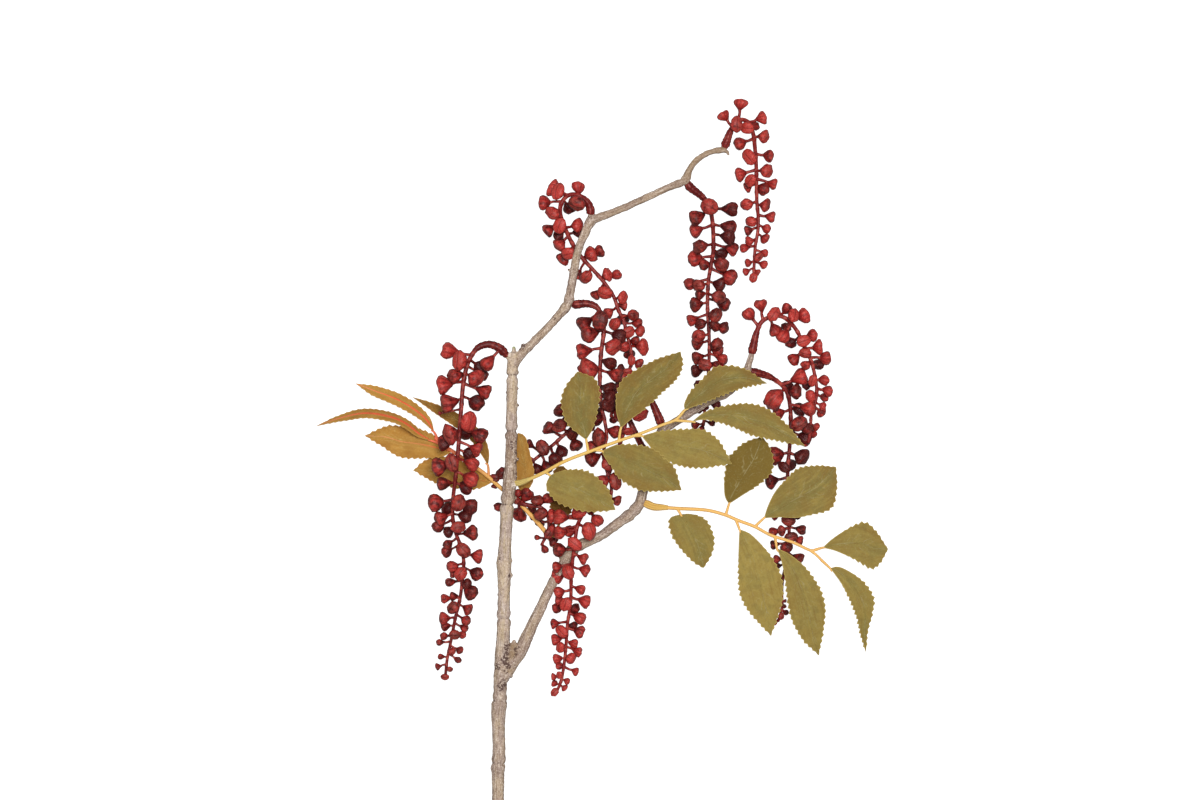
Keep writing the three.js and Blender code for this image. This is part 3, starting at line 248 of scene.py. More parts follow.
RACEME_PLANS = (
    RacemePlan(
        name="berry_raceme_01_top", tone=Tone.BRIGHT, seed=11, width=8.2, collar=10,
        begins=15, pitches=(12, 8.6), root=(723, 151, 29),
        route=(
            (725.5, 144, 29.3), (730.5, 131.3, 28.5), (737.4, 121.5, 27), (746.6, 122, 25),
            (752.7, 133, 22.5), (755, 148, 19.5), (756.5, 166, 16.5), (757, 185, 13.5), (757.5, 202, 11.8),
            (759, 217, 10.5), (758.5, 231, 10), (756.4, 243, 9.5), (755.3, 257, 8.6), (754.6, 279, 7),
        ),
        berries=(
            (740, 106, 27, 7.5, 0.1), (724, 117.5, 27, 7.5, 0), (735, 126, 33, 8.1, 0.1),
            (747, 129, 30, 7.1, 0.3), (753.5, 126, 20, 6, -0.6), (760, 119, 24, 7, 0.2),
            (762, 137, 25, 7.5, 0.3), (741.5, 143, 21, 7.5, 0.2), (750.5, 157, 23.5, 8.6, 0.2),
            (768, 155.5, 18, 7.3, 0), (742, 173.5, 17, 7.5, 0.3), (764.5, 170.5, 20, 7.9, 0.2),
            (752, 180, 19, 7, 0.2), (749, 186, 12, 5.6, -0.4), (772, 183, 14, 7, 0.2),
            (762, 187.5, 13, 7, -0.7), (749, 203.5, 15, 7.3, 0.1), (764.5, 204.5, 14, 7.1, 0),
            (770, 216, 11.5, 6.6, 0.2), (753, 220.5, 14, 6.4, 0.3), (750, 229.5, 9, 6, -0.3),
            (766, 227.5, 11, 5.6, -0.1), (751.5, 240, 11, 5.6, 0.2), (765, 237.5, 9, 5.8, -0.2),
            (746.5, 247, 9, 5.8, 0.2), (764, 252, 9, 5.1, 0.3), (758, 256.5, 12, 5.3, 0.1),
            (749.5, 262, 8.5, 4.9, 0.1), (763.5, 263.5, 8, 4.9, 0.3), (748, 270.5, 7, 4.7, 0.2),
            (757.8, 271, 8, 3.8, 0.1), (754.3, 277, 9.5, 5.3, 0.2),
        ),
    ),
    RacemePlan(
        name="berry_raceme_02", tone=Tone.DARK, seed=22, width=10, collar=14,
        begins=20, pitches=(14, 11), root=(684.5, 181, 29),
        route=(
            (690.5, 188.6, 27.6), (702, 197.5, 25.5), (709, 207, 23.4), (712.2, 220, 21), (713.4, 235, 18.5),
            (713.4, 251, 16), (711.3, 265, 14.4), (709, 279, 13), (708, 296, 12), (708.2, 314, 11.5),
            (709.6, 336, 11), (709.6, 359, 10.5), (708, 384, 9.5), (705.6, 407, 8.5), (704, 425, 7.5),
        ),
        berries=(
            (709, 208, 30.5, 9.4, 0.7), (699, 216.5, 25, 9, -0.6), (697.5, 230, 19, 8.6, 0.1),
            (727, 209, 20, 9.2, -0.6), (726, 226.5, 18, 8.8, -0.1), (725.5, 237, 23, 8.6, -0.8),
            (730, 248, 15, 8.2, -0.1), (720, 253, 11, 8, -1.1), (703, 246, 22, 8.6, -0.2),
            (697.5, 258, 15, 8.2, 0), (706, 264, 16, 6.8, -0.1), (719, 263.5, 18, 8.5, -0.2),
            (728, 276, 17, 8.1, 0.2), (693, 283, 14, 7.2, 0.1), (701, 285, 18, 7.8, -0.3),
            (701.5, 294, 13, 6.8, -0.1), (718, 284, 14, 7.8, -0.7), (716, 296, 18, 8.5, -0.1),
            (722, 303, 13, 7.8, -0.1), (698, 304, 14, 8.1, -0.2), (714, 315, 17, 7.8, -0.2),
            (694.5, 319, 13, 7.2, 0.2), (703, 323, 15, 6.8, -0.2), (713, 325, 15, 6.8, -0.3),
            (722, 327, 13, 7.5, 0), (701, 335.5, 16, 7.8, 0), (699, 343, 12, 7.5, 0.2),
            (715, 344, 15, 7.2, 0), (716, 350.5, 12, 6.8, -0.1), (700, 357, 13, 6.8, -0.2),
            (720.5, 358, 13, 7.2, 0.1), (706, 365, 16, 7.8, 0.3), (698.5, 370.5, 11, 7.5, -0.7),
            (715, 364.5, 12, 6.2, -0.4), (720, 366, 10, 5.2, -0.1), (702, 385, 12, 6.5, -0.2),
            (713, 386, 11, 6.5, -0.2), (715, 405, 11, 5.9, -0.6), (706, 407, 11, 3.9, -0.9),
            (701, 411, 8, 3.2, -0.7), (711, 423, 8, 4.2, -0.5), (697, 425, 8, 5.2, -0.5),
            (703, 427, 7.5, 4.2, -0.6),
        ),
    ),
    RacemePlan(
        name="berry_raceme_03", tone=Tone.BRIGHT, seed=33, width=9.6, collar=9,
        begins=15, pitches=(14, 10.2), root=(590.5, 222, 28),
        route=(
            (590.6, 211.5, 28.6), (588.2, 204, 28.6), (581.5, 197.5, 28), (573, 195, 27), (566, 197.5, 26),
            (561, 205, 25), (560.3, 214, 23.3), (563.5, 224, 21.2), (568.5, 236, 19.2), (574.5, 247, 17.4),
            (582, 257.5, 16.4), (598, 275, 16), (607, 286, 16), (614, 297, 16), (618.5, 310, 16),
            (624, 322, 16), (627.5, 336, 15.6), (630.5, 348, 15.4), (632, 358, 15.4), (630.5, 367, 16),
            (625, 374.5, 17), (619, 383, 17.7), (615.5, 393, 18), (613.6, 404, 17.8), (611, 416, 17.2),
        ),
        berries=(
            (554.5, 189.5, 27, 8.8, 0.1), (560, 193.5, 32, 8.8, 0.1), (545.5, 203, 24, 8, -0.2),
            (554.5, 213, 28, 7.8, -0.1), (560.5, 226, 27, 8.2, 0.2), (549, 229.5, 20, 8.2, -0.2),
            (560, 235, 16, 6.6, -0.9), (560.5, 244.5, 21, 8, 0.2), (564, 257.5, 16, 8.2, -0.6),
            (569.5, 252.5, 23.5, 8, 0.2), (575.5, 226, 26, 7.6, 0.1), (577.5, 232, 18, 7.4, -0.7),
            (568.5, 206.5, 21, 7.8, -0.7), (578, 203.5, 32.5, 9.4, -0.5), (578.5, 190, 26, 7.6, 0),
            (589.5, 254.5, 18, 8, -0.2), (597.5, 252, 15, 8, -0.3), (587, 275.5, 21, 7.8, 0.1),
            (578.5, 273, 13, 6.4, -0.6), (606, 275, 19, 7, 0), (615, 275, 15, 6.8, -0.3),
            (605.5, 292, 21, 8, 0), (596, 294, 16, 6.8, -0.2), (621, 297.5, 20, 7, -0.1),
            (622, 304.5, 15, 6.4, -0.3), (609.5, 312, 19, 7, -0.2), (616, 323, 22, 7, 0.1),
            (623, 319, 12, 6.6, -1.2), (632, 315.5, 20, 7.4, -0.1), (636, 323, 16, 6.6, -0.3),
            (639, 331, 20, 6.4, -0.4), (628, 332, 22, 6.8, 0.2), (634, 341, 15, 6, -0.2),
            (640.5, 347, 20, 8.2, 0), (624.5, 345, 18, 7.2, -0.1), (630, 354, 12, 6, -1.1),
            (631.5, 360.5, 21, 5.6, -0.1), (638, 363, 18, 5.2, -0.1), (622, 368.5, 14, 4.8, -1),
            # Painted shade of the leaves above: the last berry on this line and the three on the next, from
            # plan y 386 to 419, have very low tones
            (627.5, 372, 21, 5.4, -0.3), (621, 378, 21, 5.4, -0.1), (618, 386, 15, 4.8, -1.2),
            (615, 399, 14, 5.6, -1.4), (614.5, 409, 14, 5.6, -1.4), (613, 419, 15, 4.8, -1),
            (629, 384, 12, 7, -0.4), (626, 396, 12, 7, -0.4),
        ),
    ),
    RacemePlan(
        name="berry_raceme_04", tone=Tone.DARK, seed=44, width=10.6, collar=14,
        begins=20, pitches=(14, 10.5), root=(567, 303.5, 27),
        route=(
            (576, 304.8, 27.6), (587, 304, 28), (596, 307, 28), (601, 314, 28), (603.6, 324, 28),
            (603.6, 334, 28), (602.3, 344, 28), (600.8, 356, 28), (600, 372, 28), (600, 390, 28),
            (601, 405, 28), (604.5, 420, 28), (606.5, 436, 27.8), (603.5, 453, 27.6), (606, 468, 27.2),
            (611, 484, 26.6), (611, 501, 26),
        ),
        berries=(
            (586, 322.5, 29, 10, -0.35), (601, 320.5, 35, 9.8, -0.25), (592.5, 333.5, 31, 9.6, 0.05),
            (586, 351, 28, 9.4, -0.05), (610.5, 346, 33, 9.6, 0.05), (616.5, 335.5, 26, 8, -1.05),
            (591.5, 369.5, 33, 12, 0.25), (607, 362.5, 30, 8.4, -0.65), (613, 374, 31, 9, -0.05),
            # Painted shade of the leaves above: the three berries on this line and the first on the next,
            # from plan y 388 to 406, have very low tones
            (606, 388, 30, 8.6, -1.85), (607.5, 396.5, 32, 8.4, -1.95), (603.5, 405.5, 30, 8.6, -1.85),
            (610, 404, 24, 7, -1.95), (599, 418, 27, 7.4, -0.65), (612.5, 431, 27, 8, -0.25),
            (601.5, 437, 31, 9.6, -0.25), (596.5, 446.5, 25, 8, -0.35), (594.5, 457.5, 28, 9.4, 0.05),
            (607, 462, 31, 9, 0.25), (604.5, 479, 30, 8.2, -0.05), (614, 481, 32, 8.2, -0.15),
            (615.5, 499.5, 28, 6, 0.4), (619.5, 465, 23, 8, -0.45), (606, 492, 22, 7.6, -0.45),
        ),
    ),
    RacemePlan(
        name="berry_raceme_05_left", tone=Tone.DARK, seed=55, width=11.4, collar=20,
        begins=26, pitches=(16.5, 8.6), root=(512.7, 361, 26), reach=2.4,
        route=(
            (506.5, 354.5, 28), (499.5, 348, 29.4), (489, 344.6, 30.6), (478.5, 348, 31.2),
            (471.5, 357, 31.4), (466.8, 369, 31.4), (463.6, 387, 31.4), (462, 407, 31.2), (460, 435, 30.6),
            (458.4, 454, 29.8), (456.3, 475, 28), (453.4, 498, 25), (452.8, 516, 22), (455.5, 532, 19.6),
            (460, 545, 17.8), (463.4, 561, 15.6), (461.8, 582, 13.2), (459, 602, 11.4), (454.9, 618, 10.2),
            (451.8, 634, 9.2), (449, 648, 8.4), (446.3, 661, 7.6), (444.6, 676, 6.8),
        ),
        berries=(
            (453.5, 352, 31, 10.4, 0.4), (463.5, 361.5, 38, 9.8, 0.3), (490, 361, 30, 9.6, 0.3),
            (479, 366.5, 25, 8.8, -0.7), (481, 374, 22, 7, -0.6), (474.5, 377, 37, 9.8, 0.5),
            (458.5, 375, 34, 8.8, 0.3), (447, 384.5, 30, 10, 0.4), (452.5, 402, 33, 10.8, 0.5),
            (482, 390.5, 30, 9.4, 0.3), (474.5, 401.5, 26, 9, -0.4), (467.5, 420, 37.5, 10.4, 0.8),
            (453.5, 433, 35, 10, 0.4), (477, 434, 29, 9, -0.2), (441.5, 413, 31.5, 2.6, 0),
            (447.5, 442, 28, 8.6, 0.1), (465, 432, 26, 8.4, -0.7), (475.5, 448.5, 31, 8, 0.2),
            (468, 453, 27, 7.6, -0.6), (470.5, 463, 33, 8.8, 0.4), (454.7, 462, 35, 8.6, 0.1),
            (443, 465.5, 28, 9, 0.2), (446.5, 483, 28, 8.8, 0.1), (468.7, 477.5, 30, 8.6, 0.3),
            (464.5, 486, 24, 8.6, -0.4), (438.3, 502, 25, 9.2, 0.07), (457.7, 502, 30, 8.8, -0.23),
            (449.5, 508, 20, 7.6, -0.83), (467, 505.5, 23, 8.4, -0.43), (463, 515.5, 22, 7.3, -0.63),
            (443.5, 517, 24, 7.3, -0.23), (440, 525.5, 20, 7, 0.27), (457.5, 526.5, 26, 7.5, -0.03),
            (451.5, 530, 19, 7, -0.63), (468.5, 533, 20, 7.9, -0.03), (449, 543.5, 20, 6, -0.13),
            (448, 551, 17, 6, -0.23), (463, 550, 22, 8.2, 0.27), (475.5, 556, 17, 7, 0.27),
            (454, 566, 18, 6.7, 0.27), (454.5, 574, 14, 5.5, -0.13), (461.5, 573.5, 18, 7.5, 0.27),
            (474, 573, 15, 7.3, -0.43), (451.5, 582.5, 13, 6.3, -0.13), (465, 584, 15, 5.8, -0.63),
            (468.5, 592, 14, 7.9, -0.13), (454, 597, 12, 5.5, -0.43), (447, 599, 13, 6, 0.27),
            (454.5, 608, 14, 7.3, -0.23), (466, 609, 12, 6.3, -0.13), (445.5, 619, 13, 6.7, 0.07),
            (446, 627, 10, 6, 0.17), (464, 620.5, 12, 5.5, 0.27), (462.5, 628.5, 10, 5.1, 0.07),
            (453, 634.5, 12, 6.3, 0.07), (460.5, 635.5, 9, 4.8, 0.07), (444.5, 637, 10.5, 4.6, 0.07),
            (440, 643.5, 9, 4.6, 0.17), (450.5, 652, 10.5, 4.2, -0.13), (458, 651, 8.5, 4.2, -0.13),
            (441, 658, 8, 4.2, -0.03), (455.5, 660.5, 7.5, 3.9, 0.17), (438, 668, 7, 3.9, -0.13),
            (447.5, 670, 8.5, 3.9, 0.07), (444.5, 676.5, 8, 4.2, -0.03),
        ),
    ),
    RacemePlan(
        name="berry_raceme_06_right", tone=Tone.BRIGHT, seed=66, width=7.6, collar=12,
        begins=17, pitches=(11, 8), root=(751, 356, 24.1),
        route=(
            (753.3, 345, 24.6), (756, 333.5, 25), (760.5, 323, 25), (768.5, 317.5, 24.6), (778, 316, 24),
            (785.5, 318.5, 23.4), (791.5, 324, 22.8), (798, 333, 21.8), (803, 344, 20.8), (807.5, 353, 20),
            (811.5, 362, 19.2), (814.5, 373, 18.4), (816.6, 385, 17.8), (816.8, 396, 17.2),
            (814.5, 406, 16.8), (811.5, 416, 16.4), (811, 429, 15.8), (809, 442, 15),
        ),
        berries=(
            (760.5, 306.5, 26, 8.2, 0.2), (749.5, 315.5, 25, 8.4, -0.1), (773, 315, 29.5, 8, 0.3),
            (785.5, 310, 22, 6.8, 0), (791.5, 316.5, 28, 7.8, 0.3), (802.5, 316.5, 23, 8.2, 0.2),
            (787, 326, 17, 5.6, -0.7), (774, 328.5, 22, 7.8, -0.2), (784, 334.5, 24, 8.4, 0.2),
            (792.5, 341.5, 16, 7, -0.5), (802.5, 341, 26, 7.2, 0.3), (811.5, 335.5, 20, 7, 0.1),
            (817.5, 347.5, 20, 8, 0.5), (795, 358.5, 18, 8, 0.1), (805, 353, 25, 6.6, 0.1),
            (807, 364, 21, 6.2, 0.2), (824.5, 358, 17, 7.6, 0.2), (818, 364.5, 13, 6.6, -0.7),
            (813, 380, 22.5, 6.2, 0.2), (822.5, 380, 16, 7, 0), (808, 384.5, 13, 6, -0.6),
            (826.5, 390.5, 15, 6.8, 0.2), (824, 397, 11.5, 5.4, -0.4), (812.5, 396, 19.5, 6.4, 0.2),
            (822, 405.5, 15, 4.6, 0.1), (821.5, 411.5, 12, 5.6, 0.2), (811, 410, 19, 5, 0.1),
            (815.5, 426.5, 14, 4.8, 0.2), (813, 434, 12.5, 4.8, 0.2), (807.5, 442.5, 13.5, 4.4, 0.2),
        ),
    ),
    RacemePlan(
        name="berry_raceme_07", tone=Tone.DARK, seed=77, width=10.2, collar=13,
        begins=18, pitches=(14, 10), root=(746, 371, 23.5),
        route=(
            (757, 373, 21.8), (768, 376, 19.6), (777, 381, 17.6), (784, 387, 16), (788.5, 395, 15),
            (790.6, 406, 13.8), (791.4, 420, 12.8), (790.4, 446, 12), (788.5, 470, 11.4), (789, 500, 11),
            (790, 530, 10.6), (789, 556, 10), (784, 578, 9.2), (782.8, 594, 8.6), (783.2, 608, 8),
            (779.5, 622, 7.2),
        ),
        berries=(
            (777, 396, 21, 12.4, 0.7), (793.5, 392, 18, 7.8, -0.1), (797, 378.5, 17, 9.4, 0.6),
            (787.5, 386, 10, 6.4, -0.6), (806, 408, 17, 8.8, 0.4), (798.5, 409, 10, 8, -0.8),
            (780.5, 413, 13, 7.4, 0), (797, 423, 20, 8.8, -0.2), (805.5, 428, 15, 8, -0.4),
            (803.5, 437, 12, 7.4, -0.6), (800, 456, 17.5, 9.4, -0.6), (778, 455, 13, 10, -0.1),
            (785, 467, 18, 6.4, -0.6), (773.5, 481, 12, 8.4, -0.6), (789.5, 463, 10, 7, -0.9),
            (796, 480, 13, 8, -0.5), (782, 499, 9, 7, -0.1), (797, 496, 13, 7, -0.1),
            (777, 517, 11, 4.2, -0.3), (789, 519.5, 15, 7.2, -0.3), (797, 516, 10, 4.2, -0.4),
            (776, 532, 10, 5.8, 0.1), (783.5, 530.5, 14, 5.6, 0.1), (800, 529.5, 13, 6.2, -0.3),
            (791, 537.5, 14, 6.6, -0.1), (798.5, 540.5, 11, 5.6, -0.1), (788, 547, 14, 6.6, -0.2),
            (777, 545, 9, 5.4, -0.6), (797.5, 558, 12, 6.6, -0.6), (779, 560, 12, 5.2, 0.3),
            (779.5, 566.5, 9.5, 4, -0.7), (781.5, 579.5, 9.6, 1.6, -0.1), (784.5, 602, 9, 2.2, -0.1),
            (784, 607.5, 9, 2.6, -0.1), (786, 613, 8.4, 3.4, 0), (781.5, 616.5, 8.6, 3.8, 0),
            (777.5, 622.5, 7.6, 3.8, 0.1),
        ),
    ),
    RacemePlan(
        name="berry_raceme_08_front", tone=Tone.BRIGHT, seed=88, width=9.4, collar=15,
        begins=30, pitches=(14, 9.4), root=(663, 429, 21),
        route=(
            (658.5, 417, 22.6), (652, 402.5, 22.8), (645, 392.5, 21.6), (638, 391, 20), (632, 399, 18),
            (627, 413, 16.2), (624, 430, 15), (619, 447, 14.6), (612.5, 465, 14.6), (605, 481, 15),
            (597, 494, 16.2), (589.5, 505, 17.8), (583, 514, 19.4), (578, 524, 21), (575.8, 535, 22),
            (574.8, 546, 21.8), (573, 557, 20.2), (571.5, 571, 17.2), (571, 584, 15), (570.8, 597, 13.4),
            (569.5, 611, 12), (567.4, 625, 11), (566.4, 639, 10), (565.3, 653, 9), (563.6, 668, 8.2),
            (560.8, 683, 7.4), (555.5, 695, 6.6),
        ),
        berries=(
            (638.5, 413, 24, 9, 0.3), (628, 431, 20, 5.6, 0.2), (637, 389, 24, 8.6, 0),
            (628, 399, 20, 8.6, 0), (621.5, 414, 20, 8.4, 0), (622, 452, 15, 8, 0), (612, 458, 13, 8, -0.3),
            (600, 490, 18, 8, 0), (590, 497, 16, 8, 0), (580, 512, 25, 8, 0.5), (590.5, 510.5, 18, 5, 0),
            (596, 519, 22, 8, 0), (587.5, 529.5, 30, 9.4, 0.3), (562.5, 517, 25, 9.6, -0.1),
            (554, 516, 21, 8, -0.1), (562, 532, 25, 8.4, 0.2), (572, 531, 20, 7.4, -0.5),
            (553.5, 529, 20, 4.6, -0.4), (575, 543, 28, 8, 0.7), (560.4, 549.5, 22, 8.6, -0.5),
            (582.5, 558, 22, 7.4, 0), (583.6, 570, 17, 7, 0.2), (569, 571.5, 23, 7.6, 0.3),
            (557.5, 567, 18, 6.8, -0.1), (559, 577, 14, 7.2, 0), (579.3, 589.5, 15, 7.2, 0.2),
            (560, 592.5, 14, 7, 0.2), (583, 601.5, 12, 8, 0.2), (567, 604, 18.5, 7.8, 0.4),
            (560.4, 601, 11, 6, -0.2), (557.7, 609, 9, 6.8, 0), (573.5, 610, 8, 6.6, -0.7),
            (578, 618, 12, 7.8, 0.3), (555, 624.5, 10, 6.4, 0.1), (571.5, 627.5, 7, 5.8, -0.5),
            (578, 632.5, 9.5, 6.8, 0.2), (563.3, 631.5, 15, 7, 0.3), (557, 640.5, 9, 6.6, 0.2),
            (572, 644.5, 9, 6, 0.2), (561.8, 647.5, 13, 6, 0.1), (576.4, 652.5, 8, 6.2, 0.2),
            (569.8, 658.5, 12, 6.2, 0.3), (558.2, 660, 8.5, 6.4, 0.2), (574.6, 672.7, 7.5, 5.2, 0.3),
            (559.8, 676, 10, 4.4, 0.2), (554, 678.6, 6.5, 4.2, 0.2), (566.2, 682.5, 7, 4.2, 0.1),
            (554.8, 685.5, 5.5, 4.2, 0.1), (563.6, 689.5, 5.5, 4, 0.2), (555.3, 694.5, 7.5, 5, 0.2),
            (561.5, 667.5, 7, 5, 0),
        ),
    ),
    RacemePlan(
        name="berry_raceme_09", tone=Tone.DARK, seed=99, width=8.6, collar=9,
        begins=62, pitches=(11.5, 9), root=(651, 462, 19.6),
        route=(
            (644, 450, 15), (635, 432, 11), (625, 411, 9.4), (615.5, 397, 9), (607, 392.5, 9), (599, 400, 9),
            (591, 412.5, 9), (581, 422, 9), (571, 429, 9), (563, 436, 8.8), (554, 444, 8.5), (544, 452, 8.2),
            (534, 460, 7.8), (525, 466.5, 7.4), (514, 473, 6.6), (504, 477.5, 5.6), (490, 480, 4.8),
        ),
        berries=(
            (590, 405, 12, 8, -0.3), (596, 412, 6, 7.6, -0.3), (584, 414, 12, 8, -0.3),
            (588, 424, 6, 7, -0.3), (570, 422, 12, 7.6, -0.3), (598, 397, 13, 7.6, -0.4),
            (561.5, 412, 10, 7.8, -0.55), (550.5, 429.5, 12, 8, -0.35), (561, 427, 16, 8.4, -0.25),
            (572.5, 431.5, 12, 7.8, -0.35), (575, 443.5, 13, 8, -0.35), (543.5, 448.5, 16, 8.4, -0.25),
            (530.5, 445.5, 9, 5.8, -0.35), (560.5, 450, 8, 7.4, -0.85), (554.5, 457.5, 13, 8.2, -0.75),
            (545.5, 465.5, 9, 7, -0.85), (536, 467.5, 7.5, 5.6, -0.85), (526, 455, 7, 6, -0.35),
            (519, 466, 6.5, 6, -0.35), (502, 474.5, 8, 6.4, -0.65), (495.5, 479, 6, 5.4, -0.75),
            (493.5, 486, 5, 3.6, -0.55), (514, 480, 5.6, 5.6, -0.35),
        ),
    ),
    RacemePlan(
        name="berry_raceme_10_short", tone=Tone.DARK, seed=110, width=8, collar=4,
        begins=5, pitches=(8.6, 6.8), root=(508, 494, 20.2),
        route=(
            (514, 498.5, 15.4), (520, 503, 14.2), (528.5, 505.6, 14), (537.5, 506.5, 14), (545, 511.5, 14),
            (549, 522, 14), (547, 534, 14), (541.5, 545, 13.6),
        ),
        berries=(
            (517.5, 495, 15, 5, 0), (525, 497.5, 13, 8, 0.1), (536.5, 502, 18, 6.8, 0),
            (546.5, 500, 17, 6.2, -0.2), (541.5, 513, 19, 7.2, -0.1), (519, 512.5, 7, 8.4, 0.6),
            (531, 508.5, 11, 5.4, -0.8), (541, 523, 8, 5.6, 0.1), (550, 526.5, 15, 3.8, -0.3),
            (548.5, 533, 18, 6, -0.1), (538, 538, 14, 3.8, 0), (542.5, 546, 13.5, 4.4, 0.1),
            (552, 541, 14, 5.2, -0.3), (500.5, 506.5, 8, 5.8, -0.2), (533, 516, 7, 5, -0.5),
        ),
    ),
)

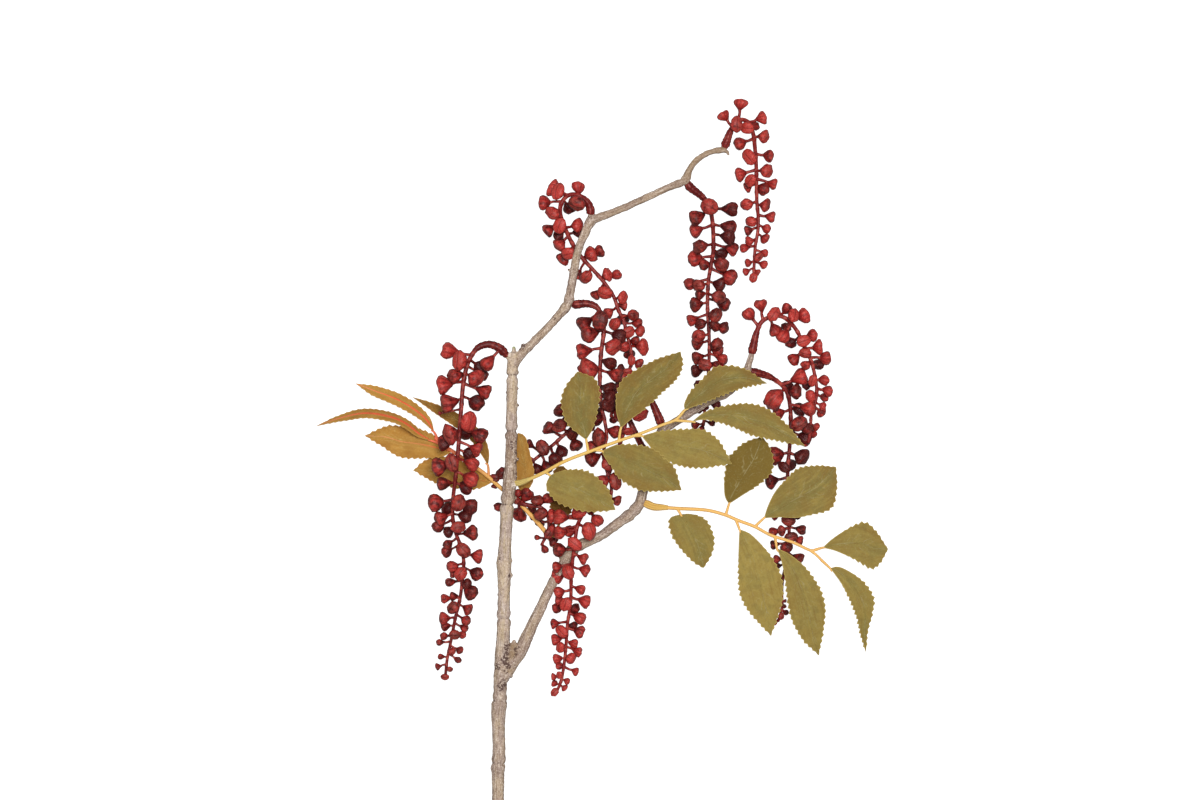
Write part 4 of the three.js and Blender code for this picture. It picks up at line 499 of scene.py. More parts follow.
LEAFY_STEM_PLANS = (
    LeafyStemPlan(
        name="leafy_stem_1_right", root=(510.5, 484, 21.4), collar=9,
        route=(
            (522, 482, 26), (541.5, 473.5, 33), (564.5, 461, 38.6), (588.5, 451.5, 41), (618.6, 440.5, 41.6),
            (642, 432.5, 41.2), (662, 424.5, 40.8), (675, 419.5, 40.4), (683, 411, 40.4),
        ),
        leaves=(
            LeafPlan(
                foot=(589, 451.3), base=(586.4, 439.5), tip=(577.8, 372), heights=(42, 46), arch=2, fold=1.2,
                left=((579, 434), (566.5, 421.6), (561.4, 401), (567.6, 384)),
                right=((593, 428), (597.5, 411), (600, 395), (597, 382), (590, 376)),
            ),
            LeafPlan(
                foot=(618, 440.5), base=(620.6, 428), tip=(679.5, 352), heights=(42, 47), arch=2.4, roll=1,
                fold=1.2, shade=-0.1, bare=0.25,
                left=((616, 411), (616.5, 393), (622, 380), (636, 370), (656, 359.5)),
                right=((632, 418), (643, 410), (654, 400), (664, 390.5), (676, 379), (682, 365)),
            ),
            LeafPlan(
                foot=(594, 450), base=(601.5, 450.5), tip=(681, 489.5), heights=(41, 38), arch=1.6, roll=-1,
                shade=0.15,
                left=((616, 444.5), (633, 444), (650, 447), (662, 455), (673.7, 467)),
                right=((605, 457.5), (611, 466), (620, 478.5), (639, 489), (661, 490.5)),
            ),
            LeafPlan(
                foot=(634, 435.3), base=(641, 435.6), tip=(731, 463.5), heights=(41.4, 38), arch=1.6,
                shade=0.5,
                left=((660, 430.5), (680, 429), (703, 429.5), (719, 442)),
                right=((652, 448.5), (665, 459), (680, 465.5), (699, 467.5), (716, 465.5)),
            ),
            LeafPlan(
                foot=(545.7, 470.5), base=(550.5, 475), tip=(615.5, 509), heights=(34, 38), arch=2.4,
                shade=0.4,
                left=((560, 471), (575.7, 468.5), (591, 472), (602, 481), (609.5, 491.5)),
                right=((546.5, 484), (549.5, 493), (557, 501), (569, 506.5), (584.6, 510.5), (601, 510.5)),
            ),
            LeafPlan(
                foot=(680, 414), base=(684, 410), tip=(765.5, 383.5), heights=(40.4, 39), arch=3, roll=1.4,
                fold=0.8,
                left=((683.5, 403), (690, 391), (701, 379.5), (713, 368), (729, 366), (744.5, 369.5)),
                right=((693, 406.5), (704, 402.5), (717, 397), (731, 391.5), (747, 386.8)),
            ),
            LeafPlan(
                foot=(674, 420.5), base=(691, 421.5), tip=(803.5, 446), heights=(40.6, 38.4), arch=2.6,
                fold=0.8, shade=0.2,
                left=((702, 413), (714, 408), (729, 404.5), (747, 403.5), (764, 408), (782, 421)),
                right=((704, 419.5), (720, 423), (736, 428.8), (749, 434.5), (765, 438.5), (783, 442)),
            ),
        ),
    ),
    LeafyStemPlan(
        name="leafy_stem_2_lower", root=(640.5, 501.5, 17.7), collar=13, flare=1.3,
        forks=(((808, 549, 30.2), (815, 554, 30), (821, 560, 30)),),
        route=(
            (654, 506.8, 20.6), (664, 507.3, 22.6), (677, 508.2, 24.6), (705, 509.6, 28.4),
            (723.5, 514, 30.2), (738, 520, 31.2), (754, 526, 31.8), (770, 534.5, 31.6), (791.5, 541.5, 31),
            (809, 549.5, 30.2), (816, 548.6, 30.2),
        ),
        leaves=(
            LeafPlan(
                foot=(677, 508.4), base=(680.7, 514.5), tip=(703.4, 568), heights=(25, 18), arch=2.6,
                shade=0.3,
                left=((690, 513.5), (704, 518), (710.5, 527.5), (714, 538), (713, 550), (708.5, 560.5)),
                right=((670, 517.5), (669, 527), (673.6, 539), (683, 551.5), (694, 562.5)),
            ),
            LeafPlan(
                foot=(725.7, 514.6), base=(728.4, 503.5), tip=(761, 436.5), heights=(31, 33.4), arch=1.4,
                fold=1.4, shade=-0.8, rib=0.5, bare=0.3,
                left=((724, 495), (723.6, 477), (727, 459.5), (734, 450), (746, 441)),
                right=((742, 494.5), (756, 485.5), (767, 476), (772, 467), (771, 453), (766.5, 443)),
            ),
            LeafPlan(
                foot=(753.5, 525.7), base=(763, 517.5), tip=(834.5, 466.5), heights=(32, 34), arch=2,
                fold=0.8, shade=0.1, rib=0.45, bare=0.42,
                left=((767, 505), (774, 491), (784, 479.5), (797, 468), (816, 465)),
                right=((779, 516.5), (795, 517), (810, 514), (824, 510.5), (832, 504), (835.5, 486)),
            ),
            LeafPlan(
                foot=(735, 518.6), base=(738.7, 528.5), tip=(771, 636), heights=(31.6, 21), arch=3.4,
                roll=0.6, shade=0.8, bare=0.3,
                left=((750, 533.5), (764, 547.5), (773, 559.5), (780, 574), (782.5, 590), (780, 608)),
                right=((738, 545), (737.5, 562), (737.5, 578), (739.5, 594), (746, 607.5), (757, 621)),
            ),
            LeafPlan(
                foot=(773.5, 536), base=(776, 547.6), tip=(819, 655.7), heights=(31, 19), arch=3.4,
                shade=0.5, bare=0.25,
                left=((788, 553), (803, 565), (814, 579), (821, 592), (824.6, 609), (823, 630)),
                right=((780.5, 560), (784, 578), (786.5, 599), (791.5, 620), (803, 640)),
            ),
            LeafPlan(
                foot=(815, 548.8), base=(821.5, 547), tip=(886.8, 548.4), heights=(30.4, 28), arch=2,
                fold=0.8, shade=0.35, bare=0.38,
                left=((830, 539), (843, 530), (854, 524), (865, 522), (876, 532)),
                right=((834, 550), (848, 556), (859, 562), (871, 568), (880, 561)),
            ),
            LeafPlan(
                foot=(820, 559.4), base=(829, 567.5), tip=(866.3, 652.8), heights=(29.8, 17), arch=3,
                fold=0.9, shade=0.4, bare=0.28,
                left=((838, 566), (852, 573), (865, 583.5), (873, 598), (872, 613), (868, 630)),
                right=((834, 574), (841, 584), (849, 600), (856, 617), (860, 634)),
            ),
        ),
    ),
    LeafyStemPlan(
        name="leafy_stem_3_left", root=(563.5, 561.5, 13.7), collar=8, girth=1.25,
        route=(
            (557, 551, 12.6), (546, 533.5, 11.8), (531, 516, 11.4), (515, 500, 11), (500, 488, 10.6),
            (487, 476.5, 10.2), (474.5, 467, 9.8), (454, 453, 9), (442, 445, 8.8), (435, 438.5, 8.8),
        ),
        leaves=(
            LeafPlan(
                foot=(442, 445), base=(431, 441), tip=(314.5, 426), heights=(9.4, 1.6), arch=9, roll=-4.6,
                fold=0, rib=2.9, teeth=0.45,
                left=((418, 437.5), (405, 428.5), (393, 422.5), (367, 418), (342, 421)),
                right=((421, 432), (407, 420), (386.5, 411.5), (361, 409), (336, 416)),
            ),
            LeafPlan(
                foot=(438, 440.5), base=(433.5, 432.5), tip=(354.6, 383.4), heights=(10, 12.5), arch=3.4,
                roll=-2.4, fold=0, rib=1.6, teeth=0.55,
                left=((421, 421), (410, 413.5), (399, 407.5), (386, 401.5), (371, 395)),
                right=((430, 419), (420, 407.5), (407, 398), (391, 390.5), (372, 385.5)),
            ),
            LeafPlan(
                foot=(459, 456.5), base=(452, 451.8), tip=(362.5, 436), heights=(8.4, 1.8), arch=0.6,
                fold=0.8, rib=0.95, teeth=1,
                left=((441, 457), (422, 458.5), (399, 457.5), (381, 447)),
                right=((438, 438), (418, 429), (402, 426.5), (386, 426), (373, 431)),
            ),
            LeafPlan(
                foot=(489, 478), base=(487.5, 466), tip=(411, 397), heights=(9.8, 4.4), arch=-1, roll=1,
                fold=0, shade=-0.5, rib=0.15, teeth=0.4,
                left=((478, 451), (466, 436.5), (450, 424.5), (434, 413.5)),
                right=((488.5, 452), (483, 436), (470, 421.5), (453, 411.5), (432, 403)),
            ),
            LeafPlan(
                foot=(497, 485.5), base=(492, 482.5), tip=(411.4, 471), heights=(8.6, 0.9), arch=-0.6,
                fold=0.6, rib=0.35, teeth=1.2,
                left=((480, 488.5), (466, 490.5), (451, 488), (437, 484.5), (425, 479)),
                right=((479, 472), (464, 462.5), (450, 457.5), (437, 457), (423, 461)),
            ),
            LeafPlan(
                foot=(519, 504), base=(522, 494), tip=(520, 434), heights=(12, 16.4), arch=0, roll=-1,
                fold=0, shade=-0.2, rib=0.1, teeth=0.4,
                left=((517.5, 486), (516.2, 470), (516, 455), (516.2, 440), (517.5, 433.5)),
                right=((531, 486), (534, 473), (530.5, 457), (527, 442), (524.5, 435.5)),
            ),
            LeafPlan(
                foot=(551, 541), base=(562, 518), tip=(560, 466.5), heights=(9, 11.5), arch=0, fold=0.6,
                shade=-0.9, rib=0.1, teeth=1.5,
                left=((552, 511), (548.5, 500), (549.5, 486), (552.5, 474.5), (555.5, 468)),
                right=((571, 513), (573.5, 500), (571, 485), (567.5, 473), (565, 467)),
            ),
        ),
    ),
)

# Places, routes and frames


def at(x: float, y: float, height: float) -> Array:
    """The point over a place of the plan, in millimetres."""
    return np.array([(x - PLAN_ORIGIN[0]) * MM_PER_STEP, (PLAN_ORIGIN[1] - y) * MM_PER_STEP, height])


def unit(vector: Array) -> Array:
    """The vector at a length of one."""
    return vector / np.linalg.norm(vector)


def mix(pair: Sequence[float], share: float) -> float:
    """The value at a share of the way from the first of a pair to the second."""
    return pair[0] + (pair[1] - pair[0]) * share


def smoothstep(low: float, high: float, values: Array) -> Array:
    """How far values have gone from low to high, from 0 to 1, eased at both ends."""
    share = np.clip((values - low) / (high - low), 0, 1)
    return share * share * (3 - 2 * share)


def bell(away: Array, width: float) -> Array:
    """A bump that is 1 where nothing is away, and falls off over a width on both sides."""
    return np.exp(-((away / width) ** 2))


def noise_at(points: Array) -> Array:
    """Even noise, from about -1 to 1, at each of several points."""
    return np.array([noise.noise(Vector(point)) for point in points])


def axes_across(along: Array) -> tuple[Array, Array]:
    """The level direction across a run, and the one square to both that points up."""
    side = unit(np.cross(along, UP))
    return side, np.cross(side, along)


def evenly(start: float, end: float, step: float) -> Array:
    """Distances from start to end, about a step apart."""
    return np.linspace(start, end, max(1, round((end - start) / step)) + 1)


class Route:
    """A smooth route through points, measured along its length."""

    def __init__(self, points: Array) -> None:
        """Finds the route.

        Args:
            points: the points that it passes through, in millimetres.
        """
        before, after = 2 * points[0] - points[1], 2 * points[-1] - points[-2]
        padded = np.vstack([before, points, after])[:, None]
        x0, x1, x2, x3 = padded[:-3], padded[1:-2], padded[2:-1], padded[3:]
        t0, t1 = (x2 - x0) / 2, (x3 - x1) / 2
        share = (np.arange(STEPS_PER_SPAN) / STEPS_PER_SPAN)[None, :, None]
        square, cube = -3 * x1 + 3 * x2 - 2 * t0 - t1, 2 * x1 - 2 * x2 + t0 + t1
        spans = x1 + share * (t0 + share * (square + share * cube))
        self.points = np.vstack([spans.reshape(-1, 3), points[-1]])
        steps = np.linalg.norm(np.diff(self.points, axis=0), axis=1)
        self.distances = np.concatenate([[0.0], np.cumsum(steps)])
        self.length = float(self.distances[-1])

    @staticmethod
    def through(rows: Sequence[Sequence[float]]) -> Route:
        """The route through rows of plan x, plan y and height."""
        return Route(np.array([at(*row) for row in rows]))

    def place_at(self, distance: float) -> tuple[Array, Array]:
        """Follows the route.

        Args:
            distance: how far along it to go.

        Returns:
            The point there, and the route's direction.
        """
        last = len(self.points) - 1
        i = min(max(int(np.searchsorted(self.distances, distance)), 1), last)
        start, end = self.points[i - 1], self.points[i]
        share = (distance - self.distances[i - 1]) / (self.distances[i] - self.distances[i - 1])
        return start + (end - start) * share, unit(end - start)

    def points_at(self, distances: Array) -> Array:
        """The points at several distances along the route."""
        return np.column_stack([np.interp(distances, self.distances, axis) for axis in self.points.T])

    def nearest_in_plan(self, point: Array) -> tuple[float, float, Array]:
        """Finds where the route passes nearest to a point, as seen from above.

        Args:
            point: the point.

        Returns:
            How far off the route passes, how far along it that is, and the point there.
        """
        away = np.hypot(self.points[:, 0] - point[0], self.points[:, 1] - point[1])
        i = int(np.argmin(away))
        return float(away[i]), float(self.distances[i]), self.points[i]


@dataclass
class Limb:
    """One limb of the branch: its points and its radius at each."""

    points: Array
    radii: Array

    @staticmethod
    def of(rows: Rows) -> Limb:
        """The limb that rows of the plan give."""
        return Limb(np.array([at(x, y, height) for x, y, height, _ in rows]), np.array(rows)[:, 3])

    def finely(self) -> tuple[Route, Array]:
        """Smooths the limb.

        Returns:
            Its smooth route, and its radius at each of the route's points.
        """
        path = Route(self.points)
        steps = np.linspace(0, len(self.radii) - 1, len(path.points))
        return path, np.interp(steps, np.arange(len(self.radii)), self.radii)

    def depth_in(self, point: Array) -> float:
        """Measures how a point lies to the bark, as if the limb were straight between its points.

        Args:
            point: the point.

        Returns:
            Its distance from the bark, which is less than nothing inside.
        """
        axes = self.points[1:] - self.points[:-1]
        from_starts = point - self.points[:-1]
        shares = np.einsum("ij,ij->i", from_starts, axes) / np.einsum("ij,ij->i", axes, axes)
        nearest = self.points[:-1] + axes * np.clip(shares, 0, 1)[:, None]
        thickest = np.maximum(self.radii[:-1], self.radii[1:])
        return float(np.min(np.linalg.norm(point - nearest, axis=1) - thickest))


LIMBS = [Limb.of(rows) for rows in (MAIN_STEM, SIDE_BRANCH, UPPER_BRANCH)]


def springing(root: Array, towards: Array, collar_radius: float) -> float:
    """How far from a limb's axis a collar starts, with its rim clear of the bark.

    Args:
        root: the point on the limb's axis that the stalk comes from.
        towards: the point that it first heads for.
        collar_radius: the radius of the collar's rim.

    Returns:
        The distance from the root to the collar's start.
    """
    along = unit(towards - root)
    side, top = axes_across(along)
    angles = np.arange(RIM_POINTS) * 2 * math.pi / RIM_POINTS
    rim = collar_radius * (np.outer(np.cos(angles), side) + np.outer(np.sin(angles), top))
    distance = collar_radius
    while any(limb.depth_in(root + along * distance + p) < BARK_CLEARANCE for p in rim for limb in LIMBS):
        distance += SPRINGING_STEP
    return distance


@dataclass
class Shoot:
    """Where a raceme or leafy stem springs: its root, its twig's end and its route."""

    root: Array
    twig_end: Array
    path: Route

    @staticmethod
    def of(plan: RacemePlan | LeafyStemPlan, collar_radius: float) -> Shoot:
        """Lays out the shoot of a plan.

        Args:
            plan: the raceme's or leafy stem's plan.
            collar_radius: the radius of its collar's rim.

        Returns:
            The shoot, whose collar starts just clear of the bark.
        """
        root = at(*plan.root)
        drawn = [at(*row) for row in plan.route]
        reach = springing(root, drawn[0], collar_radius)
        while np.linalg.norm(drawn[0] - root) < reach + STRAIGHT_RUN:
            drawn = drawn[1:]
            reach = springing(root, drawn[0], collar_radius)
        along = unit(drawn[0] - root)
        start = root + along * reach
        return Shoot(root, root + along * (reach - JOINT_GAP), Route(np.array([start, *drawn])))


# Work on meshes


def deselect_all() -> None:
    """Leaves object mode with nothing selected."""
    if bpy.context.object and bpy.context.object.mode != "OBJECT":
        bpy.ops.object.mode_set(mode="OBJECT")
    bpy.ops.object.select_all(action="DESELECT")


def select(pieces: Sequence[bpy.types.Object]) -> None:
    """Selects pieces alone and makes the first one active.

    Args:
        pieces: the pieces.
    """
    deselect_all()
    for piece in pieces:
        piece.select_set(True)
    bpy.context.view_layer.objects.active = pieces[0]


def joined(name: str, pieces: Sequence[bpy.types.Object]) -> bpy.types.Object:
    """Joins pieces into one object, with its place in its mesh.

    Args:
        name: the object's name.
        pieces: the pieces.

    Returns:
        The object.
    """
    select(pieces)
    if len(pieces) > 1:
        bpy.ops.object.join()
    piece = pieces[0]
    bpy.ops.object.transform_apply(location=True, rotation=True, scale=True)
    piece.name = piece.data.name = name
    return piece


def modified(piece: bpy.types.Object, kind: str, settings: dict[str, Any]) -> None:
    """Adds a modifier to a piece and applies it.

    Args:
        piece: the piece.
        kind: the modifier's type.
        settings: its properties.
    """
    modifier = piece.modifiers.new(kind.lower(), kind)
    for key, setting in settings.items():
        setattr(modifier, key, setting)
    select([piece])
    bpy.ops.object.modifier_apply(modifier=modifier.name)


def read(mesh: bpy.types.Mesh, what: str = "co") -> Array:
    """Reads a vector of each vertex of a mesh.

    Args:
        mesh: the mesh.
        what: co for the place of each vertex, or normal for the direction that it faces.

    Returns:
        The vectors.
    """
    flat = np.empty(len(mesh.vertices) * 3)
    mesh.vertices.foreach_get(what, flat)
    return flat.reshape(-1, 3)


def put(mesh: bpy.types.Mesh, places: Array) -> None:
    """Moves a mesh's vertices to new places."""
    mesh.vertices.foreach_set("co", places.ravel())
    mesh.update()


def mark(mesh: bpy.types.Mesh, name: str, values: Array | float) -> None:
    """Writes an attribute of a mesh's vertices.

    Args:
        mesh: the mesh.
        name: the attribute's name.
        values: a number or a vector for each vertex, or one number for all.
    """
    values = np.asarray(values, dtype=float)
    if values.ndim == 0:
        values = np.full(len(mesh.vertices), float(values))
    kind, key = ("FLOAT_VECTOR", "vector") if values.ndim == 2 else ("FLOAT", "value")
    attribute = mesh.attributes.get(name) or mesh.attributes.new(name, kind, "POINT")
    attribute.data.foreach_set(key, values.ravel())


def close_seams(piece: bpy.types.Object, face_outwards: bool = True) -> None:
    """Merges what lies on one spot of a piece.

    Args:
        piece: the piece.
        face_outwards: whether its faces are then turned outwards.
    """
    select([piece])
    bpy.ops.object.mode_set(mode="EDIT")
    bpy.ops.mesh.select_all(action="SELECT")
    bpy.ops.mesh.remove_doubles(threshold=SEAM)
    if face_outwards:
        bpy.ops.mesh.normals_make_consistent(inside=False)
    bpy.ops.object.mode_set(mode="OBJECT")


class Section(Enum):
    """The cross-section of a tube: how many sides it has, and how deep its ridges are."""

    STALK = (10, 0.0)
    LIMB = (24, 0.0)
    RIDGED = (16, 0.16)

    def outline(self) -> bpy.types.Object:
        """Draws a flat closed outline, one millimetre in radius, that a tube is swept with.

        Returns:
            The outline.
        """
        sides, ridge = self.value
        turns = np.arange(sides) * 2 * math.pi / sides
        radii = MM * (1 + ridge * np.where(np.arange(sides) % 2, -1, 0))
        curve = bpy.data.curves.new(f"section_{self.name.lower()}", "CURVE")
        curve.dimensions = "2D"
        spline = curve.splines.new("POLY")
        spline.points.add(sides - 1)
        spline.use_cyclic_u = True
        rows = np.column_stack([radii * np.cos(turns), radii * np.sin(turns), 0 * turns, 1 + 0 * turns])
        spline.points.foreach_set("co", rows.ravel())
        outline = bpy.data.objects.new(curve.name, curve)
        bpy.context.collection.objects.link(outline)
        return outline


def rounded(points: Array, radii: Array) -> tuple[Array, Array]:
    """Gives a run a round end.

    Args:
        points: the run's points.
        radii: its radius at each.

    Returns:
        The points and radii with those of the end.
    """
    along, radius = unit(points[-1] - points[-2]), radii[-1]
    lifts = np.array(END_LIFTS)
    ends = points[-1] + np.outer(lifts * radius, along)
    return np.vstack([points, ends]), np.concatenate([radii, radius * np.sqrt(1 - lifts**2)])


def reaching_back(points: Array, radii: Array, reach: float) -> tuple[Array, Array]:
    """Begins a run earlier, with a rounded rim, so that it meets the bark.

    Args:
        points: the run's points.
        radii: its radius at each.
        reach: how much earlier it begins.

    Returns:
        The points and radii with those of the rim.
    """
    back = unit(points[0] - points[1])
    starts = points[0] + np.outer(reach * np.array(RIM_STARTS), back)
    return np.vstack([starts, points]), np.concatenate([radii[0] * np.array(RIM_GIRTHS), radii])


def tube(points: Array, radii: Array, section: Section = Section.STALK) -> bpy.types.Object:
    """Sweeps a closed tube along points.

    Args:
        points: the tube's axis, in millimetres.
        radii: its radius at each point.
        section: its cross-section.

    Returns:
        Its object, whose attribute run holds how far along the axis each vertex is, from 0 to 1.
    """
    curve = bpy.data.curves.new("tube", "CURVE")
    curve.dimensions = "3D"
    spline = curve.splines.new("POLY")
    spline.points.add(len(points) - 1)
    spline.points.foreach_set("co", np.column_stack([points * MM, np.ones(len(points))]).ravel())
    spline.points.foreach_set("radius", radii)
    outline = section.outline()
    curve.bevel_mode = "OBJECT"
    curve.bevel_object = outline
    curve.use_fill_caps = True
    piece = bpy.data.objects.new("tube", curve)
    bpy.context.collection.objects.link(piece)
    select([piece])
    bpy.ops.object.convert(target="MESH")
    bpy.data.objects.remove(outline)
    close_seams(piece)
    gaps = np.linalg.norm(read(piece.data)[:, None] / MM - points[None], axis=2)
    nearest, ridge = np.argmin(gaps, axis=1), section.value[1]
    mark(piece.data, "run", nearest / (len(points) - 1))
    if ridge:
        mark(piece.data, "groove", np.min(gaps, axis=1) < radii[nearest] * (1 - ridge / 2))
    return piece


# Shader maths


class Value:
    """A number's socket, with operators that add Math nodes."""

    def __init__(self, shader: Shader, socket: Any) -> None:
        """Wraps a socket of a shader's node."""
        self.shader = shader
        self.socket = socket

    def _math(self, operation: str, first: Number, second: Number = 0.0) -> Value:
        """The result of an operation on two numbers."""
        node = self.shader.node("ShaderNodeMath", {"operation": operation}, {0: first, 1: second})
        return Value(self.shader, node.outputs[0])

    def __add__(self, other: Number) -> Value:
        """The sum of this and the other."""
        return self._math("ADD", self, other)

    def __radd__(self, other: Number) -> Value:
        """The sum of the other and this."""
        return self._math("ADD", other, self)

    def __sub__(self, other: Number) -> Value:
        """This less the other."""
        return self._math("SUBTRACT", self, other)

    def __rsub__(self, other: Number) -> Value:
        """The other less this."""
        return self._math("SUBTRACT", other, self)

    def __mul__(self, other: Number) -> Value:
        """The product of this and the other."""
        return self._math("MULTIPLY", self, other)

    def __rmul__(self, other: Number) -> Value:
        """The product of the other and this."""
        return self._math("MULTIPLY", other, self)

    def __abs__(self) -> Value:
        """The number without its sign."""
        return self._math("ABSOLUTE", self)

    def fraction(self) -> Value:
        """What is left of the number past its whole part."""
        return self._math("FRACT", self)

    def at_least(self, other: Number) -> Value:
        """The greater of the two numbers."""
        return self._math("MAXIMUM", self, other)

    def turn_from(self, other: Number) -> Value:
        """The angle of a direction whose two parts are this number and the other."""
        return self._math("ARCTAN2", self, other)

    def wave(self) -> Value:
        """The sine of the number."""
        return self._math("SINE", self)

    def eased(self, low: float, high: float) -> Value:
        """Eases the number between two others.

        Args:
            low: the number that gives 0.
            high: the number that gives 1.

        Returns:
            How far it has gone from low to high, eased at both ends.
        """
        settings = {"interpolation_type": "SMOOTHSTEP"}
        node = self.shader.node("ShaderNodeMapRange", settings, {0: self, 1: low, 2: high})
        return Value(self.shader, node.outputs[0])


Number = Value | float


def linear(colour: Colour) -> tuple[float, float, float, float]:
    """A colour as the eye gives it, in the units of light that a shader takes."""
    parts = (p / 12.92 if p <= 0.04045 else ((p + 0.055) / 1.055) ** 2.4 for p in colour)
    return (*parts, 1.0)


class Shader:
    """A material's nodes, from its attributes and coordinates to its surface."""

    def __init__(self, name: str) -> None:
        """Starts a material.

        Args:
            name: the material's name.
        """
        self.material = bpy.data.materials.new(name)
        self.material.use_nodes = True
        self.tree = self.material.node_tree
        self.surface = self.tree.nodes["Principled BSDF"]

    def node(self, kind: str, settings: dict[str, Any], inputs: dict[int | str, Any]) -> Any:
        """Adds a node.

        Args:
            kind: the node's type.
            settings: its properties, set first.
            inputs: a constant, a socket or a Value for each socket, by index or name.

        Returns:
            The node.
        """
        node = self.tree.nodes.new(kind)
        for key, setting in settings.items():
            setattr(node, key, setting)
        for key, given in inputs.items():
            self.feed(node.inputs[key], given)
        return node

    def feed(self, socket: Any, given: Any) -> None:
        """Sets or links a socket.

        Args:
            socket: the socket.
            given: a constant, or the socket or Value that is linked to it.
        """
        if isinstance(given, Value):
            given = given.socket
        if isinstance(given, bpy.types.NodeSocket):
            self.tree.links.new(given, socket)
        else:
            socket.default_value = given

    def attribute(self, name: str) -> Value:
        """A number that the mesh holds for each vertex."""
        node = self.node("ShaderNodeAttribute", {"attribute_name": name}, {})
        return Value(self, node.outputs["Fac"])

    def vector(self, name: str) -> Any:
        """A vector that the mesh holds for each vertex."""
        return self.node("ShaderNodeAttribute", {"attribute_name": name}, {}).outputs["Vector"]

    def place(self) -> Any:
        """The place on the object."""
        return self.node("ShaderNodeTexCoord", {}, {}).outputs["Object"]

    def parts(self, vector: Any) -> tuple[Value, ...]:
        """The three numbers of a vector."""
        return tuple(Value(self, s) for s in self.node("ShaderNodeSeparateXYZ", {}, {0: vector}).outputs)

    def combined(self, operation: str, vector: Any, other: Any) -> Any:
        """The result of an operation on two vectors."""
        return self.node("ShaderNodeVectorMath", {"operation": operation}, {0: vector, 1: other}).outputs[0]

    def noise(self, vector: Any, scale: float, detail: float = 2.0, roughness: float = 0.5) -> Value:
        """Noise from 0 to 1, about 0.5 on average."""
        inputs = {"Vector": vector, "Scale": scale, "Detail": detail, "Roughness": roughness}
        return Value(self, self.node("ShaderNodeTexNoise", {}, inputs).outputs[0])

    def painted(self, colour: Any, *paints: tuple[Number, Any]) -> Any:
        """Lays paints over a colour, one after the other.

        Args:
            colour: the first colour.
            paints: how much each paint covers, from 0 to 1, and its colour or socket.

        Returns:
            The colour's socket.
        """
        first = linear(colour) if isinstance(colour, tuple) else colour
        for share, paint in paints:
            second = linear(paint) if isinstance(paint, tuple) else paint
            inputs = {0: share, 6: first, 7: second}
            first = self.node("ShaderNodeMix", {"data_type": "RGBA"}, inputs).outputs[2]
        return first

    def finish(
        self, colour: Any, roughness: Number, height: Value, depth: float, shine: float = 0.5
    ) -> bpy.types.Material:
        """Dresses the surface.

        Args:
            colour: its base colour.
            roughness: how rough it is.
            height: its relief, from 0 to 1.
            depth: how deep that relief is, in millimetres.
            shine: how strongly it reflects light.

        Returns:
            The material.
        """
        bump = self.node("ShaderNodeBump", {}, {"Height": height, "Distance": depth * MM, "Strength": 1.0})
        self.feed(self.surface.inputs["Base Color"], colour)
        self.feed(self.surface.inputs["Roughness"], roughness)
        self.feed(self.surface.inputs["Normal"], bump.outputs[0])
        self.surface.inputs["Specular IOR Level"].default_value = shine
        return self.material


# Finishes


